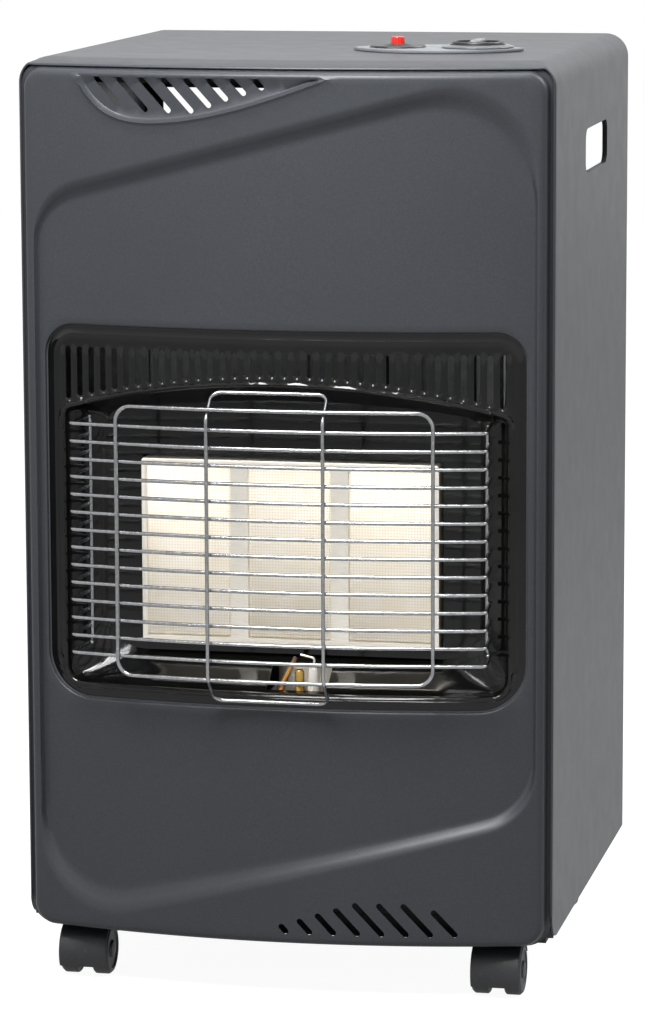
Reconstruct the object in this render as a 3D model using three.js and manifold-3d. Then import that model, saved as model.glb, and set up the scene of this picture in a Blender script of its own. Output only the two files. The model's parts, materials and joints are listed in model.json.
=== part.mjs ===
// Portable gas cabinet heater: a three-plaque infrared burner in a folded steel cabinet on castors.
// Millimetres, +Z up, the front faces -Y, +X is to the right seen from the front. The origin is on the
// floor, in the middle of the heater's width and of its depth with the guard.
import * as THREE from 'three';
import { mergeVertices } from 'three/addons/utils/BufferGeometryUtils.js';
import Module from 'manifold-3d';

const wasm = await Module();
wasm.setup();

// ---------------------------------------------------------------- driving sizes
const WIDTH = 420; // casing, side to side
const CASING_TOP = 730; // floor to the top sheet
const FRONT = -209; // the front panel at the middle of its bow
const REAR = 231; // back of the rear cover
const BOW = 30; // how far the front bulges at its middle
const SHEET = 1.5; // folded and pressed steel
const GAP = 0.3; // between pieces that touch

const HALF = WIDTH / 2;
const SHELL_BOTTOM = 47;
const SHELL_CORNER = 19; // bend between the top and the sides
const SHELL_REAR = REAR - 1.5; // the cover lies on this face
const RETURN_FLANGE = 17; // folded strip down each rear edge
const REAR_OPEN_TOP = CASING_TOP - 49; // lower edge of the rear top flange
const SETBACK = 10; // the casing's front edge, behind the bow
const LIP_DROP = 6; // the top sheet slopes down to the front
const LIP_RUN = 35;
const SLOT = { y: 46, z: CASING_TOP - 80, length: 120, height: 35, corner: 10, hem: 4 }; // carrying slot

const PANEL = {
  half: HALF - 5.7, bottom: SHELL_BOTTOM - 2, top: CASING_TOP - 7.5,
  corner: 15, lowCorner: 17, roll: 5, depth: 20,
};
const SEAT_DEPTH = PANEL.depth + GAP; // the casing's lip that the panel is screwed to
const FIELD_DEPTH = 7; // the slanting field is pressed back this far
const WINDOW = {
  half: PANEL.half - 14.3, bottom: 230, top: 524.5, topCorner: 24, lowCorner: 36, returnDepth: 10.5,
};
const VENT = { width: 4.4, slant: -47, pitch: 18.2, firstX: -143.2, topZ: PANEL.top - 5.5 };
const VENT_LENGTHS = [29, 35, 35.5, 35.5, 29.5, 22.5, 16.5, 10.5];
const LOW_VENT = { width: 4.8, slant: 132.5, pitch: 18.8, firstX: 7.4, bottomZ: PANEL.bottom + 8.6 };
const LOW_VENT_LENGTHS = [9.5, 16, 22.5, 29, 35, 35, 35, 28.5];
const LENS_DEPTH = 3;

const RING_DEPTH = 11; // the surround's face, behind the panel's front
const ENAMELLED = 1.4; // the surround's sheet with its enamel
const DISH_DEPTH = 60; // the surround's flat back, behind the middle of the bow
const LOUVRE = { count: 36, pitch: 9.8, width: 4.6, top: 507.5, centreZ: 489.5, drop: 23.5 };
const BURNER = { half: 118.4, bottom: 273, top: 418, front: -160, lip: 4.4, frameDepth: 25 };
const SEPARATOR = { inner: 33, outer: 47 }; // strips between the plaques, from the middle

const WIRE = 1.5; // radius of the guard's wires
const GUARD = { count: 14, pitch: 13.85, lowZ: 271, half: WINDOW.half - 26.5, standOut: 17, legBack: -163 };

const CONTROL_Y = -39; // knob and igniter stand on this line
const BUTTON_X = 63.5;
const KNOB_X = 127.5;
const PLATE_TOP = CASING_TOP + 2.7;
const SHIELD_Y = -74; // front face of the heat shield

const CASTOR = { x: HALF - 44, y: 143, trail: 14, wheel: 20, hood: 23, hoodHalf: 19.5, web: 5.5 };

const SLICE = 54; // the bow is made of strips this wide
const ARC_STEPS = 4;

// ---------------------------------------------------------------- joining and cutting
function solid(geometry) {
  const bare = geometry.clone();
  bare.deleteAttribute('normal');
  bare.deleteAttribute('uv');
  const merged = mergeVertices(bare, 1e-4);
  const index = merged.index.array;
  const kept = [];
  for (let i = 0; i < index.length; i += 3) {
    const [a, b, c] = [index[i], index[i + 1], index[i + 2]];
    if (a !== b && b !== c && a !== c) kept.push(a, b, c);
  }
  return new wasm.Manifold(new wasm.Mesh({
    numProp: 3,
    vertProperties: new Float32Array(merged.attributes.position.array),
    triVerts: new Uint32Array(kept),
  }));
}

function geometryOf(manifold) {
  const mesh = manifold.getMesh();
  const geometry = new THREE.BufferGeometry();
  geometry.setAttribute('position', new THREE.BufferAttribute(mesh.vertProperties, 3));
  geometry.setIndex(new THREE.BufferAttribute(mesh.triVerts, 1));
  const flat = geometry.toNonIndexed();
  flat.computeVertexNormals();
  return flat;
}

function join(first, ...others) {
  return geometryOf(others.reduce((sum, next) => sum.add(solid(next)), solid(first)));
}

function cut(first, ...tools) {
  return geometryOf(tools.reduce((rest, next) => rest.subtract(solid(next)), solid(first)));
}

function common(first, second) {
  return geometryOf(solid(first).intersect(solid(second)));
}

// ---------------------------------------------------------------- outlines
// A polygon with rounded corners, anticlockwise. Each corner is [x, y, radius, steps].
function roundedOutline(corners) {
  const points = [];
  corners.forEach(([x, y, radius, steps = ARC_STEPS], i) => {
    const corner = new THREE.Vector2(x, y);
    if (!radius) {
      points.push(corner);
      return;
    }
    const before = corners[(i + corners.length - 1) % corners.length];
    const after = corners[(i + 1) % corners.length];
    const toBefore = new THREE.Vector2(before[0] - x, before[1] - y).normalize();
    const toAfter = new THREE.Vector2(after[0] - x, after[1] - y).normalize();
    const half = Math.acos(toBefore.dot(toAfter)) / 2;
    const middle = toBefore.clone().add(toAfter).normalize();
    const centre = corner.clone().addScaledVector(middle, radius / Math.sin(half));
    const start = corner.clone().addScaledVector(toBefore, radius / Math.tan(half)).sub(centre);
    const turn = Math.sign(toAfter.cross(toBefore)) * (Math.PI - 2 * half);
    for (let k = 0; k <= steps; k++) {
      points.push(start.clone().rotateAround(new THREE.Vector2(), (turn * k) / steps).add(centre));
    }
  });
  return points;
}

function box(x0, x1, y0, y1, radius = 0, steps = ARC_STEPS, topRadius = radius) {
  return roundedOutline([
    [x0, y0, radius, steps], [x1, y0, radius, steps], [x1, y1, topRadius, steps], [x0, y1, topRadius, steps],
  ]);
}

function circle(x, y, radius, sides = 20) {
  return Array.from({ length: sides }, (_, i) => {
    const a = (2 * Math.PI * i) / sides;
    return new THREE.Vector2(x + radius * Math.cos(a), y + radius * Math.sin(a));
  });
}

// A slot with round ends, from (x, y) along the direction `angle` in degrees.
function slotOutline(x, y, length, width, angle, steps = 4) {
  const r = width / 2;
  const points = [];
  for (const [cx, from] of [[length - r, -90], [r, 90]]) {
    for (let k = 0; k <= steps; k++) {
      const a = THREE.MathUtils.degToRad(from + (180 * k) / steps);
      points.push(new THREE.Vector2(cx + r * Math.cos(a), r * Math.sin(a)));
    }
  }
  const turn = THREE.MathUtils.degToRad(angle);
  return points.map((p) => p.rotateAround(new THREE.Vector2(), turn).add(new THREE.Vector2(x, y)));
}

// Two arcs that meet in a point at each end.
function lensOutline(x, y, half, depth, steps = 12) {
  const radius = (half * half + depth * depth) / (2 * depth);
  const reach = Math.asin(half / radius);
  const points = [];
  for (const side of [-1, 1]) {
    for (let k = 0; k < steps; k++) {
      const a = -reach + (2 * reach * k) / steps;
      const across = side < 0 ? Math.sin(a) : -Math.sin(a);
      points.push(new THREE.Vector2(x + radius * across, y + side * (radius * Math.cos(a) - radius + depth)));
    }
  }
  return points;
}

// ---------------------------------------------------------------- solids from outlines
function extrude(outline, depth) {
  return new THREE.ExtrudeGeometry(new THREE.Shape(outline), { depth, bevelEnabled: false, steps: 1 });
}

// (x, z) outline swept from y0 back to y1
function alongY(outline, y0, y1) {
  return extrude(outline, y1 - y0).rotateX(Math.PI / 2).translate(0, y1, 0);
}

// (x, y) outline swept from z0 up to z1
function alongZ(outline, z0, z1) {
  return extrude(outline, z1 - z0).translate(0, 0, z0);
}

// (y, z) outline swept from x0 to x1
function alongX(outline, x0, x1) {
  return extrude(outline, x1 - x0).rotateX(Math.PI / 2).rotateZ(Math.PI / 2).translate(x0, 0, 0);
}

function block(x0, x1, y0, y1, z0, z1) {
  return new THREE.BoxGeometry(x1 - x0, y1 - y0, z1 - z0)
    .translate((x0 + x1) / 2, (y0 + y1) / 2, (z0 + z1) / 2);
}

// A round part about the Z axis: [radius, height] pairs from the bottom of the axis to its top.
function turned(profile, sides = 20) {
  return new THREE.LatheGeometry(profile.map(([r, z]) => new THREE.Vector2(r, z)), sides)
    .rotateX(Math.PI / 2);
}

function rod(x, y, z0, z1, radius, sides = 16) {
  return new THREE.CylinderGeometry(radius, radius, z1 - z0, sides)
    .rotateX(Math.PI / 2).translate(x, y, (z0 + z1) / 2);
}

// A stack of outlines at growing depth, closed at both ends. Each ring is { outline, depth }, its
// outline anticlockwise seen from the front, all with the same number of points.
function loft(rings) {
  const count = rings[0].outline.length;
  const positions = rings.flatMap(({ outline, depth }) => outline.flatMap((p) => [p.x, depth, p.y]));
  const index = [];
  for (let r = 0; r + 1 < rings.length; r++) {
    for (let k = 0; k < count; k++) {
      const a = r * count + k;
      const b = r * count + ((k + 1) % count);
      index.push(a, a + count, b, b, a + count, b + count);
    }
  }
  const last = (rings.length - 1) * count;
  THREE.ShapeUtils.triangulateShape(rings[0].outline, []).forEach(([a, b, c]) => index.push(a, b, c));
  THREE.ShapeUtils.triangulateShape(rings.at(-1).outline, [])
    .forEach(([a, b, c]) => index.push(last + a, last + c, last + b));
  const geometry = new THREE.BufferGeometry();
  geometry.setAttribute('position', new THREE.Float32BufferAttribute(positions, 3));
  geometry.setIndex(index);
  return geometry;
}

// ---------------------------------------------------------------- the bow of the front
const bowShift = (x) => BOW * (x / HALF) ** 2;
const bowY = (x) => FRONT + bowShift(x);

// Splits a convex polygon at the plane x = at, and gives its left and right parts.
function splitAt(polygon, at) {
  const left = [];
  const right = [];
  polygon.forEach((p, i) => {
    const q = polygon[(i + 1) % polygon.length];
    const side = Math.abs(p.x - at) < 1e-4 ? 0 : Math.sign(p.x - at);
    const next = Math.abs(q.x - at) < 1e-4 ? 0 : Math.sign(q.x - at);
    if (side <= 0) left.push(p);
    if (side >= 0) right.push(p);
    if (side * next < 0) {
      const [low, high] = p.x < q.x ? [p, q] : [q, p];
      const crossing = low.clone().lerp(high, (at - low.x) / (high.x - low.x)).setX(at);
      left.push(crossing);
      right.push(crossing);
    }
  });
  return [left, right];
}

// Takes a shape drawn flat, where y is the depth behind the front, cuts its faces into strips and
// moves them back to follow the bow. `follow` says how much of the bow a depth takes, from 0 to 1.
function bow(geometry, follow = () => 1) {
  const flat = geometry.index ? geometry.toNonIndexed() : geometry;
  const source = flat.getAttribute('position');
  const positions = [];
  const place = (p) => positions.push(p.x, FRONT + p.y + bowShift(p.x) * follow(p.y), p.z);
  for (let i = 0; i < source.count; i += 3) {
    let rest = [0, 1, 2].map((k) => new THREE.Vector3().fromBufferAttribute(source, i + k));
    const from = Math.min(...rest.map((p) => p.x));
    const to = Math.max(...rest.map((p) => p.x));
    const pieces = [];
    for (let k = Math.ceil((from + 1e-3) / SLICE); k * SLICE < to - 1e-3; k++) {
      const [left, right] = splitAt(rest, k * SLICE);
      pieces.push(left);
      rest = right;
    }
    pieces.push(rest);
    for (const polygon of pieces) {
      for (let k = 1; k + 1 < polygon.length; k++) [polygon[0], polygon[k], polygon[k + 1]].forEach(place);
    }
  }
  const bowed = new THREE.BufferGeometry();
  bowed.setAttribute('position', new THREE.Float32BufferAttribute(positions, 3));
  return bowed;
}

// ---------------------------------------------------------------- wires and pipes
// A path through listed points, one ring of the wire to each point.
class WirePath extends THREE.Curve {
  constructor(points) {
    super();
    this.points = points;
  }

  getPoint(t, target = new THREE.Vector3()) {
    const at = t * (this.points.length - 1);
    const i = Math.min(Math.floor(at), this.points.length - 2);
    return target.copy(this.points[i]).lerp(this.points[i + 1], at - i);
  }

  getTangent(t, target = new THREE.Vector3()) {
    const i = Math.round(t * (this.points.length - 1));
    const last = this.points.length - 1;
    const closed = this.points[0].distanceTo(this.points[last]) < 1e-6;
    const before = this.points[i > 0 ? i - 1 : closed ? last - 1 : 0];
    const after = this.points[i < last ? i + 1 : closed ? 1 : last];
    const here = this.points[i];
    const into = here.clone().sub(before).normalize();
    const out = after.clone().sub(here).normalize();
    return target.copy(into).add(out).normalize();
  }

  getUtoTmapping(u) {
    return u;
  }
}

// Corner points with a bend at each [x, y, z, radius] whose radius isn't 0.
function bends(corners, steps = 3, closed = false) {
  const points = [];
  corners.forEach(([x, y, z, radius = 0], i) => {
    const corner = new THREE.Vector3(x, y, z);
    const before = corners[(i + corners.length - 1) % corners.length];
    const after = corners[(i + 1) % corners.length];
    if (!radius || (!closed && (i === 0 || i === corners.length - 1))) {
      points.push(corner);
      return;
    }
    const toBefore = new THREE.Vector3(before[0], before[1], before[2]).sub(corner).normalize();
    const toAfter = new THREE.Vector3(after[0], after[1], after[2]).sub(corner).normalize();
    const half = toBefore.angleTo(toAfter) / 2;
    const start = corner.clone().addScaledVector(toBefore, radius / Math.tan(half));
    const centre = corner.clone()
      .addScaledVector(toBefore.clone().add(toAfter).normalize(), radius / Math.sin(half));
    const axis = toAfter.clone().cross(toBefore).normalize();
    const spoke = start.sub(centre);
    for (let k = 0; k <= steps; k++) {
      points.push(spoke.clone().applyAxisAngle(axis, ((Math.PI - 2 * half) * k) / steps).add(centre));
    }
  });
  return points;
}

function wire(points, radius, sides = 6) {
  const path = new WirePath(points);
  const shape = new THREE.Shape(circle(0, 0, radius, sides));
  const settings = { steps: points.length - 1, extrudePath: path, bevelEnabled: false };
  return new THREE.ExtrudeGeometry(shape, settings);
}

function ringWire(points, radius, sides = 6) {
  const path = new WirePath([...points, points[0].clone()]);
  return new THREE.TubeGeometry(path, points.length, radius, sides, true);
}

// ---------------------------------------------------------------- the cabinet
function cabinetShell() {
  const gate = (inset, bottom) => roundedOutline([
    [-HALF + inset, bottom, 0], [HALF - inset, bottom, 0],
    [HALF - inset, CASING_TOP - inset, SHELL_CORNER - inset, 6],
    [-HALF + inset, CASING_TOP - inset, SHELL_CORNER - inset, 6],
  ]);
  const outer = alongY(gate(0, SHELL_BOTTOM), FRONT - 5, SHELL_REAR);
  const slope = (down) => bow(alongX([
    new THREE.Vector2(-8, CASING_TOP - LIP_DROP - down), new THREE.Vector2(LIP_RUN, CASING_TOP - down),
    new THREE.Vector2(LIP_RUN, CASING_TOP + 9), new THREE.Vector2(-8, CASING_TOP + 9),
  ], -HALF - 8, HALF + 8));
  const inner = cut(alongY(gate(SHEET, SHELL_BOTTOM - 5), FRONT - 9, SHELL_REAR - SHEET), slope(SHEET));
  const rearOpening = block(-HALF + RETURN_FLANGE, HALF - RETURN_FLANGE,
    SHELL_REAR - 9, SHELL_REAR + 9, SHELL_BOTTOM - 5, REAR_OPEN_TOP);
  const beforeBow = bow(block(-HALF - 8, HALF + 8, -70, SETBACK, 0, CASING_TOP + 20));
  // the lip that the front panel is screwed to, as (in from the sides, down from the top, corner)
  const arch = ([outerSide, outerTop, outerCorner], [innerSide, innerTop, innerCorner], from, to) => bow(
    alongY(roundedOutline([
      [-HALF + outerSide, SHELL_BOTTOM, 0], [-HALF + innerSide, SHELL_BOTTOM, 0],
      [-HALF + innerSide, CASING_TOP - innerTop, innerCorner, 4],
      [HALF - innerSide, CASING_TOP - innerTop, innerCorner, 4],
      [HALF - innerSide, SHELL_BOTTOM, 0], [HALF - outerSide, SHELL_BOTTOM, 0],
      [HALF - outerSide, CASING_TOP - outerTop, outerCorner, 6],
      [-HALF + outerSide, CASING_TOP - outerTop, outerCorner, 6],
    ]), from, to));
  const seatLip = arch([SHEET / 2, 2.6, 15], [14, 18, 8], SEAT_DEPTH, SEAT_DEPTH + SHEET);
  const slot = (grow) => box(SLOT.y - SLOT.length / 2 - grow, SLOT.y + SLOT.length / 2 + grow,
    SLOT.z - SLOT.height / 2 - grow, SLOT.z + SLOT.height / 2 + grow, SLOT.corner + grow, 4);
  const hem = (side) => {
    const from = side * (HALF - SHEET - SLOT.hem);
    const to = side * (HALF - SHEET / 2);
    return alongX(slot(SHEET), Math.min(from, to), Math.max(from, to));
  };
  const controlOpening = alongZ(lensOutline(96, CONTROL_Y, 62, 37), CASING_TOP - 9, CASING_TOP + 9);
  const walls = cut(cut(outer, inner), rearOpening, beforeBow, controlOpening);
  return cut(join(walls, seatLip, hem(-1), hem(1)), alongX(slot(0), -HALF - 9, HALF + 9));
}

// The slanting field of the panel: its edge at the front, and its floor pressed back.
function fieldOutline(floor) {
  const slope = 0.264;
  const corner = (x, z, tilt, radius) => [x, z + tilt * x, radius, 6];
  if (!floor) {
    const [left, right] = [-PANEL.half + 6.3, PANEL.half - 5.3];
    const [low, high] = [PANEL.bottom + 46.5, PANEL.top - 40.5];
    return roundedOutline([
      corner(left, low, slope, 60), corner(right, low, slope, 50),
      corner(right, high, slope, 65), corner(left, high, slope, 50),
    ]);
  }
  const [lowLeft, left, right] = [-PANEL.half + 10.3, -PANEL.half + 12.3, PANEL.half - 9.8];
  const [low, high, lowSlope] = [PANEL.bottom + 67.2, PANEL.top - 60, 0.232];
  return roundedOutline([
    corner(lowLeft, low, lowSlope, 60), corner(right, low, lowSlope, 45),
    corner(right, high, slope, 75), corner(left, high, slope, 34),
  ]);
}

function fieldPressing(behind) {
  const edge = fieldOutline(false);
  const floor = fieldOutline(true);
  const knee = { s: 0.8, depth: FIELD_DEPTH * 0.86 }; // the wall flattens out before the floor
  const ring = (s, depth) => ({
    outline: edge.map((p, i) => p.clone().lerp(floor[i], s)), depth: depth + behind,
  });
  const above = -0.25; // the cutting shape starts in front of the panel, on the same slope
  return bow(loft([
    ring(above, (knee.depth * above) / knee.s), ring(knee.s, knee.depth), ring(1, FIELD_DEPTH),
  ]));
}

function lensCurve() {
  const at = (x, down) => new THREE.Vector2(x, PANEL.top - down);
  const path = new THREE.CurvePath();
  path.add(new THREE.CubicBezierCurve(at(-160, 3.5), at(-150, 24.5), at(-135, 39.9), at(-102, 39.9)));
  path.add(new THREE.CubicBezierCurve(at(-102, 39.9), at(-50, 39.9), at(5, 18.5), at(46, 3.5)));
  return path.getPoints(5);
}

function lensPressing(behind) {
  const edge = lensCurve();
  const middle = new THREE.Vector2(-80, PANEL.top - 17.5);
  const floor = edge.map((p) => p.clone().lerp(middle, 0.04));
  return bow(loft([{ outline: edge, depth: behind - 2 }, { outline: floor, depth: LENS_DEPTH + behind }]));
}

function frontPanel() {
  const outline = (inset) => box(-PANEL.half + inset, PANEL.half - inset, PANEL.bottom + inset,
    PANEL.top - inset, PANEL.lowCorner - Math.min(inset, 5), 3, PANEL.corner - Math.min(inset, 5));
  const pan = (inset, behind) => {
    const rings = [90, 40, 0].map((a) => ({
      outline: outline(inset + PANEL.roll * (1 - Math.cos(THREE.MathUtils.degToRad(a)))),
      depth: behind + PANEL.roll * (1 - Math.sin(THREE.MathUtils.degToRad(a))),
    }));
    return bow(loft([...rings, { outline: outline(inset), depth: PANEL.depth + 2 * behind }]));
  };
  const windowOutline = (grow) => box(-WINDOW.half - grow, WINDOW.half + grow, WINDOW.bottom - grow,
    WINDOW.top + grow, WINDOW.lowCorner + grow, 5, WINDOW.topCorner + grow);
  const front = cut(pan(0, 0), fieldPressing(0), lensPressing(0));
  const back = cut(pan(SHEET, SHEET), fieldPressing(SHEET), lensPressing(SHEET));
  const windowReturn = bow(alongY(windowOutline(SHEET), FIELD_DEPTH + SHEET / 2, WINDOW.returnDepth));
  const bead = wire(lensCurve().map((p) => new THREE.Vector3(p.x, bowY(p.x) + 0.6, p.y)), 1.8, 6);
  const through = (points) => alongY(points, FRONT - 20, FRONT + BOW + 40);
  const vents = VENT_LENGTHS.map((length, i) => through(
    slotOutline(VENT.firstX + i * VENT.pitch, VENT.topZ, length, VENT.width, VENT.slant, 2)));
  const lowVents = LOW_VENT_LENGTHS.map((length, i) => through(slotOutline(
    LOW_VENT.firstX + i * LOW_VENT.pitch, LOW_VENT.bottomZ, length, LOW_VENT.width, LOW_VENT.slant, 2)));
  return cut(join(cut(front, back), windowReturn, bead), through(windowOutline(0)), ...vents, ...lowVents);
}

// The enamelled surround: a bowed ring, and a dish whose walls curve into a flat back.
function dishOutline(s, grow) {
  const ease = s * s;
  const mix = (a, b) => THREE.MathUtils.lerp(a, b, ease);
  const half = mix(WINDOW.half - 14, WINDOW.half - 40) + grow;
  const bottom = mix(241, 263) - grow;
  const top = mix(482, 465) + grow;
  const drop = mix(24, 11);
  const corner = mix(14, 30);
  const arch = [];
  for (let k = -3; k <= 3; k++) {
    const x = -half * (k / 4);
    arch.push([x, top - drop * (x / half) ** 2, 0]);
  }
  return roundedOutline([
    [-half, bottom, corner, 3], [half, bottom, corner, 3],
    [half, top - drop, corner / 2, 2], ...arch, [-half, top - drop, corner / 2, 2],
  ]);
}

function burnerSurround() {
  const follow = (depth) => THREE.MathUtils.clamp((DISH_DEPTH - depth) / (DISH_DEPTH - RING_DEPTH), 0, 1);
  // the first ring is moved by `from`: into the sheet for the outside, out in front for the inside
  const dish = (grow, from) => {
    const rings = [0, 0.35, 0.65, 0.87, 1].map((s) => ({
      outline: dishOutline(s, grow),
      depth: THREE.MathUtils.lerp(RING_DEPTH, DISH_DEPTH, s) + (s === 1 ? grow : 0) + (s === 0 ? from : 0),
    }));
    return bow(loft(rings), follow);
  };
  const ringOutline = box(-WINDOW.half - 5, WINDOW.half + 5, WINDOW.bottom - 5, WINDOW.top + 5,
    WINDOW.lowCorner + 5, 4, WINDOW.topCorner + 5);
  const ring = bow(alongY(ringOutline, RING_DEPTH, RING_DEPTH + ENAMELLED));
  const slots = Array.from({ length: LOUVRE.count }, (_, i) => {
    const x = (i - (LOUVRE.count - 1) / 2) * LOUVRE.pitch;
    const foot = LOUVRE.centreZ - LOUVRE.drop * (x / 171.5) ** 2;
    const outline = slotOutline(x, foot, LOUVRE.top - foot, LOUVRE.width, 90, 2);
    return alongY(outline, bowY(x) + RING_DEPTH - 4, bowY(x) + RING_DEPTH + 5);
  });
  const burnerHole = block(-BURNER.half - 1.2, BURNER.half + 1.2, -160, -140, BURNER.bottom - 1.5,
    BURNER.top + 1.5);
  const pilotHole = block(-14, 34, -188, -158, 230, 262);
  const feet = guardFeet().map(([from, to]) => {
    const way = to.clone().sub(from);
    return wire([from.clone(), to.clone().addScaledVector(way.normalize(), 6)], 2.4, 8);
  });
  return cut(join(ring, dish(ENAMELLED, 0.5)), dish(0, -4), burnerHole, pilotHole, ...feet, ...slots);
}

// ---------------------------------------------------------------- the guard
const GUARD_TOP = GUARD.lowZ + (GUARD.count - 1) * GUARD.pitch;
const POST_X = WINDOW.half - 32.6; // upright wires inside the cage's ends
const POST_Y = -167;
const LOOP = 124; // half the width of the wide loop
const NARROW_LEFT = -50;
const NARROW_RIGHT = 41;

// The four feet of the upright wires, which plug into the surround's side walls.
function guardFeet() {
  return [-1, 1].flatMap((side) => [GUARD_TOP + 1, GUARD.lowZ + 1].map((z) => [
    new THREE.Vector3(side * POST_X, POST_Y, z), new THREE.Vector3(side * (WINDOW.half - 22), -153, z),
  ]));
}

function guard() {
  const front = (x) => bowY(x) - GUARD.standOut;
  const wires = [];
  for (let i = 0; i < GUARD.count; i++) {
    const z = GUARD.lowZ + i * GUARD.pitch;
    const across = [-LOOP, NARROW_LEFT, NARROW_RIGHT, LOOP].map((x) => [x, front(x), z]);
    const leg = (side) => [
      [side * (WINDOW.half - 30.6), GUARD.legBack, z], [side * GUARD.half, front(GUARD.half), z, 6],
    ];
    wires.push(wire(bends([...leg(-1), ...across, ...leg(1).reverse()], 2), WIRE));
  }
  for (const [upper, lower] of [guardFeet().slice(0, 2), guardFeet().slice(2)]) {
    const corners = [upper[1], upper[0], lower[0], lower[1]].map((p, i) => [p.x, p.y, p.z, i % 3 ? 5 : 0]);
    wires.push(wire(bends(corners, 2), WIRE));
  }
  const weld = 2 * WIRE - 0.6; // crossing wires are pressed together where they are welded
  const loop = (x0, x1, z0, z1, out, corner) => {
    const xs = [x0, (2 * x0 + x1) / 3, (x0 + 2 * x1) / 3, x1];
    const row = (z, list) => list.map((x, i) => [x, front(x) - out, z, i % 3 ? 0 : corner]);
    return ringWire(bends([...row(z0, xs), ...row(z1, [...xs].reverse())], 3, true), WIRE);
  };
  wires.push(loop(-LOOP, LOOP, 256.5, 467, weld, 12));
  // the narrow loop leans back to the surround above and below the cage
  const lean = [[237, 0], [258, -2 * weld], [460, -2 * weld], [478, 0]];
  const [x0, x1] = [NARROW_LEFT, NARROW_RIGHT];
  const up = lean.map(([z, out], i) => [x1, i % 3 ? front(x1) + out : bowY(x1) - 1, z, i % 3 ? 9 : 8]);
  const down = lean.map(([z, out], i) => [x0, i % 3 ? front(x0) + out : bowY(x0) - 1, z, i % 3 ? 9 : 8]);
  wires.push(ringWire(bends([...up, ...down.reverse()], 2, true), WIRE));
  return join(...wires);
}

// ---------------------------------------------------------------- the burner
const MIXER_X = [-76, 0, 76]; // one mixing tube and injector under each plaque
const INJECTOR_Y = -118;
const HOUSING_BACK = -103;

function burnerFrame() {
  const { half, bottom, top, front, lip, frameDepth } = BURNER;
  const outer = alongY(box(-half, half, bottom, top, 2, 2), front, front + frameDepth);
  const hollow = block(-half + 1, half - 1, front + 1, front + frameDepth + 1, bottom + 1, top - 1);
  const opening = (x0, x1) => block(x0, x1, front - 1, front + 2, bottom + lip, top - lip);
  return cut(outer, hollow, opening(-half + lip, -SEPARATOR.outer),
    opening(-SEPARATOR.inner, SEPARATOR.inner), opening(SEPARATOR.outer, half - lip));
}

const PLAQUE_FRONT = BURNER.front + 1 + GAP;
const PLAQUE_DEPTH = 12;
const PLAQUE_STEP = 0.6; // its face stands proud of its rim
const PLAQUE_HEIGHT = BURNER.top - BURNER.bottom - 2 - 2 * GAP;

// A ceramic plaque with the shallow step round its face that the frame's lip holds.
function plaque(width) {
  const face = alongY(box(-width / 2 + 3, width / 2 - 3, 4, PLAQUE_HEIGHT - 4, 1.5, 2), -PLAQUE_STEP, 4);
  return join(alongY(box(-width / 2, width / 2, 0, PLAQUE_HEIGHT, 1.5, 2), 0, PLAQUE_DEPTH), face);
}

// The box behind the plaques, open towards them, with a mixing tube under each plaque.
function burnerHousing() {
  const { half, bottom, top } = BURNER;
  const front = PLAQUE_FRONT + PLAQUE_STEP + PLAQUE_DEPTH + GAP;
  const wall = 1.2;
  const gate = (inset) => box(-half + 1 + GAP + inset, half - 1 - GAP - inset, bottom + 1 + GAP + inset,
    top - 1 - GAP - inset, 6 - inset, 3);
  const body = alongY(gate(0), front, HOUSING_BACK);
  const hollow = alongY(gate(wall), front - 1, HOUSING_BACK - wall);
  const tube = (x, profile) => turned(profile, 12).translate(x, INJECTOR_Y, 0);
  const tubes = MIXER_X.map((x) => tube(x, [[0, 238], [15, 238], [11.5, 247], [11.5, 300], [0, 300]]));
  const mouths = MIXER_X.map((x) => tube(x, [[0, 236], [13.5, 236], [9.5, 248], [9.5, 302], [0, 302]]));
  return cut(join(cut(body, hollow), ...tubes), ...mouths);
}

function injectorRail() {
  const bar = alongX(box(-125, -111, 212, 226, 3, 2), -92, 92);
  const injectors = MIXER_X.map((x) => turned([
    [0, 208], [4.5, 208], [4.5, 226], [5.5, 226], [5.5, 231], [2.4, 234.5], [0, 234.5],
  ], 8).translate(x, INJECTOR_Y, 0));
  const arms = [-38, 38].map((x) => block(x - 8, x + 8, -119, -117, 220, BURNER.bottom + 1));
  return join(bar, ...injectors, ...arms);
}

function heatShield() {
  const wide = HALF - SHEET - GAP;
  const plan = [[-wide, -58], [-wide, SHIELD_Y], [wide, SHIELD_Y], [wide, -58],
    [wide - 1, -58], [wide - 1, SHIELD_Y + 1], [-wide + 1, SHIELD_Y + 1], [-wide + 1, -58]]
    .map(([x, y]) => new THREE.Vector2(x, y));
  const sheet = alongZ(plan, 68, 600);
  const hem = block(-wide + 12, wide - 12, SHIELD_Y + 0.5, SHIELD_Y + 9, 599, 600);
  const ribs = [-130, 0, 130].map((x) => alongZ(circle(x, SHIELD_Y + 0.2, 3, 10), 110, 560));
  const ribBacks = [-130, 0, 130].map((x) => alongZ(circle(x, SHIELD_Y + 1.2, 3, 10), 108, 562));
  const grooves = ribBacks.map((g) => common(g, block(-HALF, HALF, SHIELD_Y + 0.9, SHIELD_Y + 9, 100, 570)));
  const noses = ribs.map((g) => common(g, block(-HALF, HALF, SHIELD_Y - 9, SHIELD_Y + 0.5, 100, 570)));
  return cut(join(sheet, hem, ...noses), ...grooves);
}

// ---------------------------------------------------------------- the pilot group
const PILOT_Y = -174;

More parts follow.
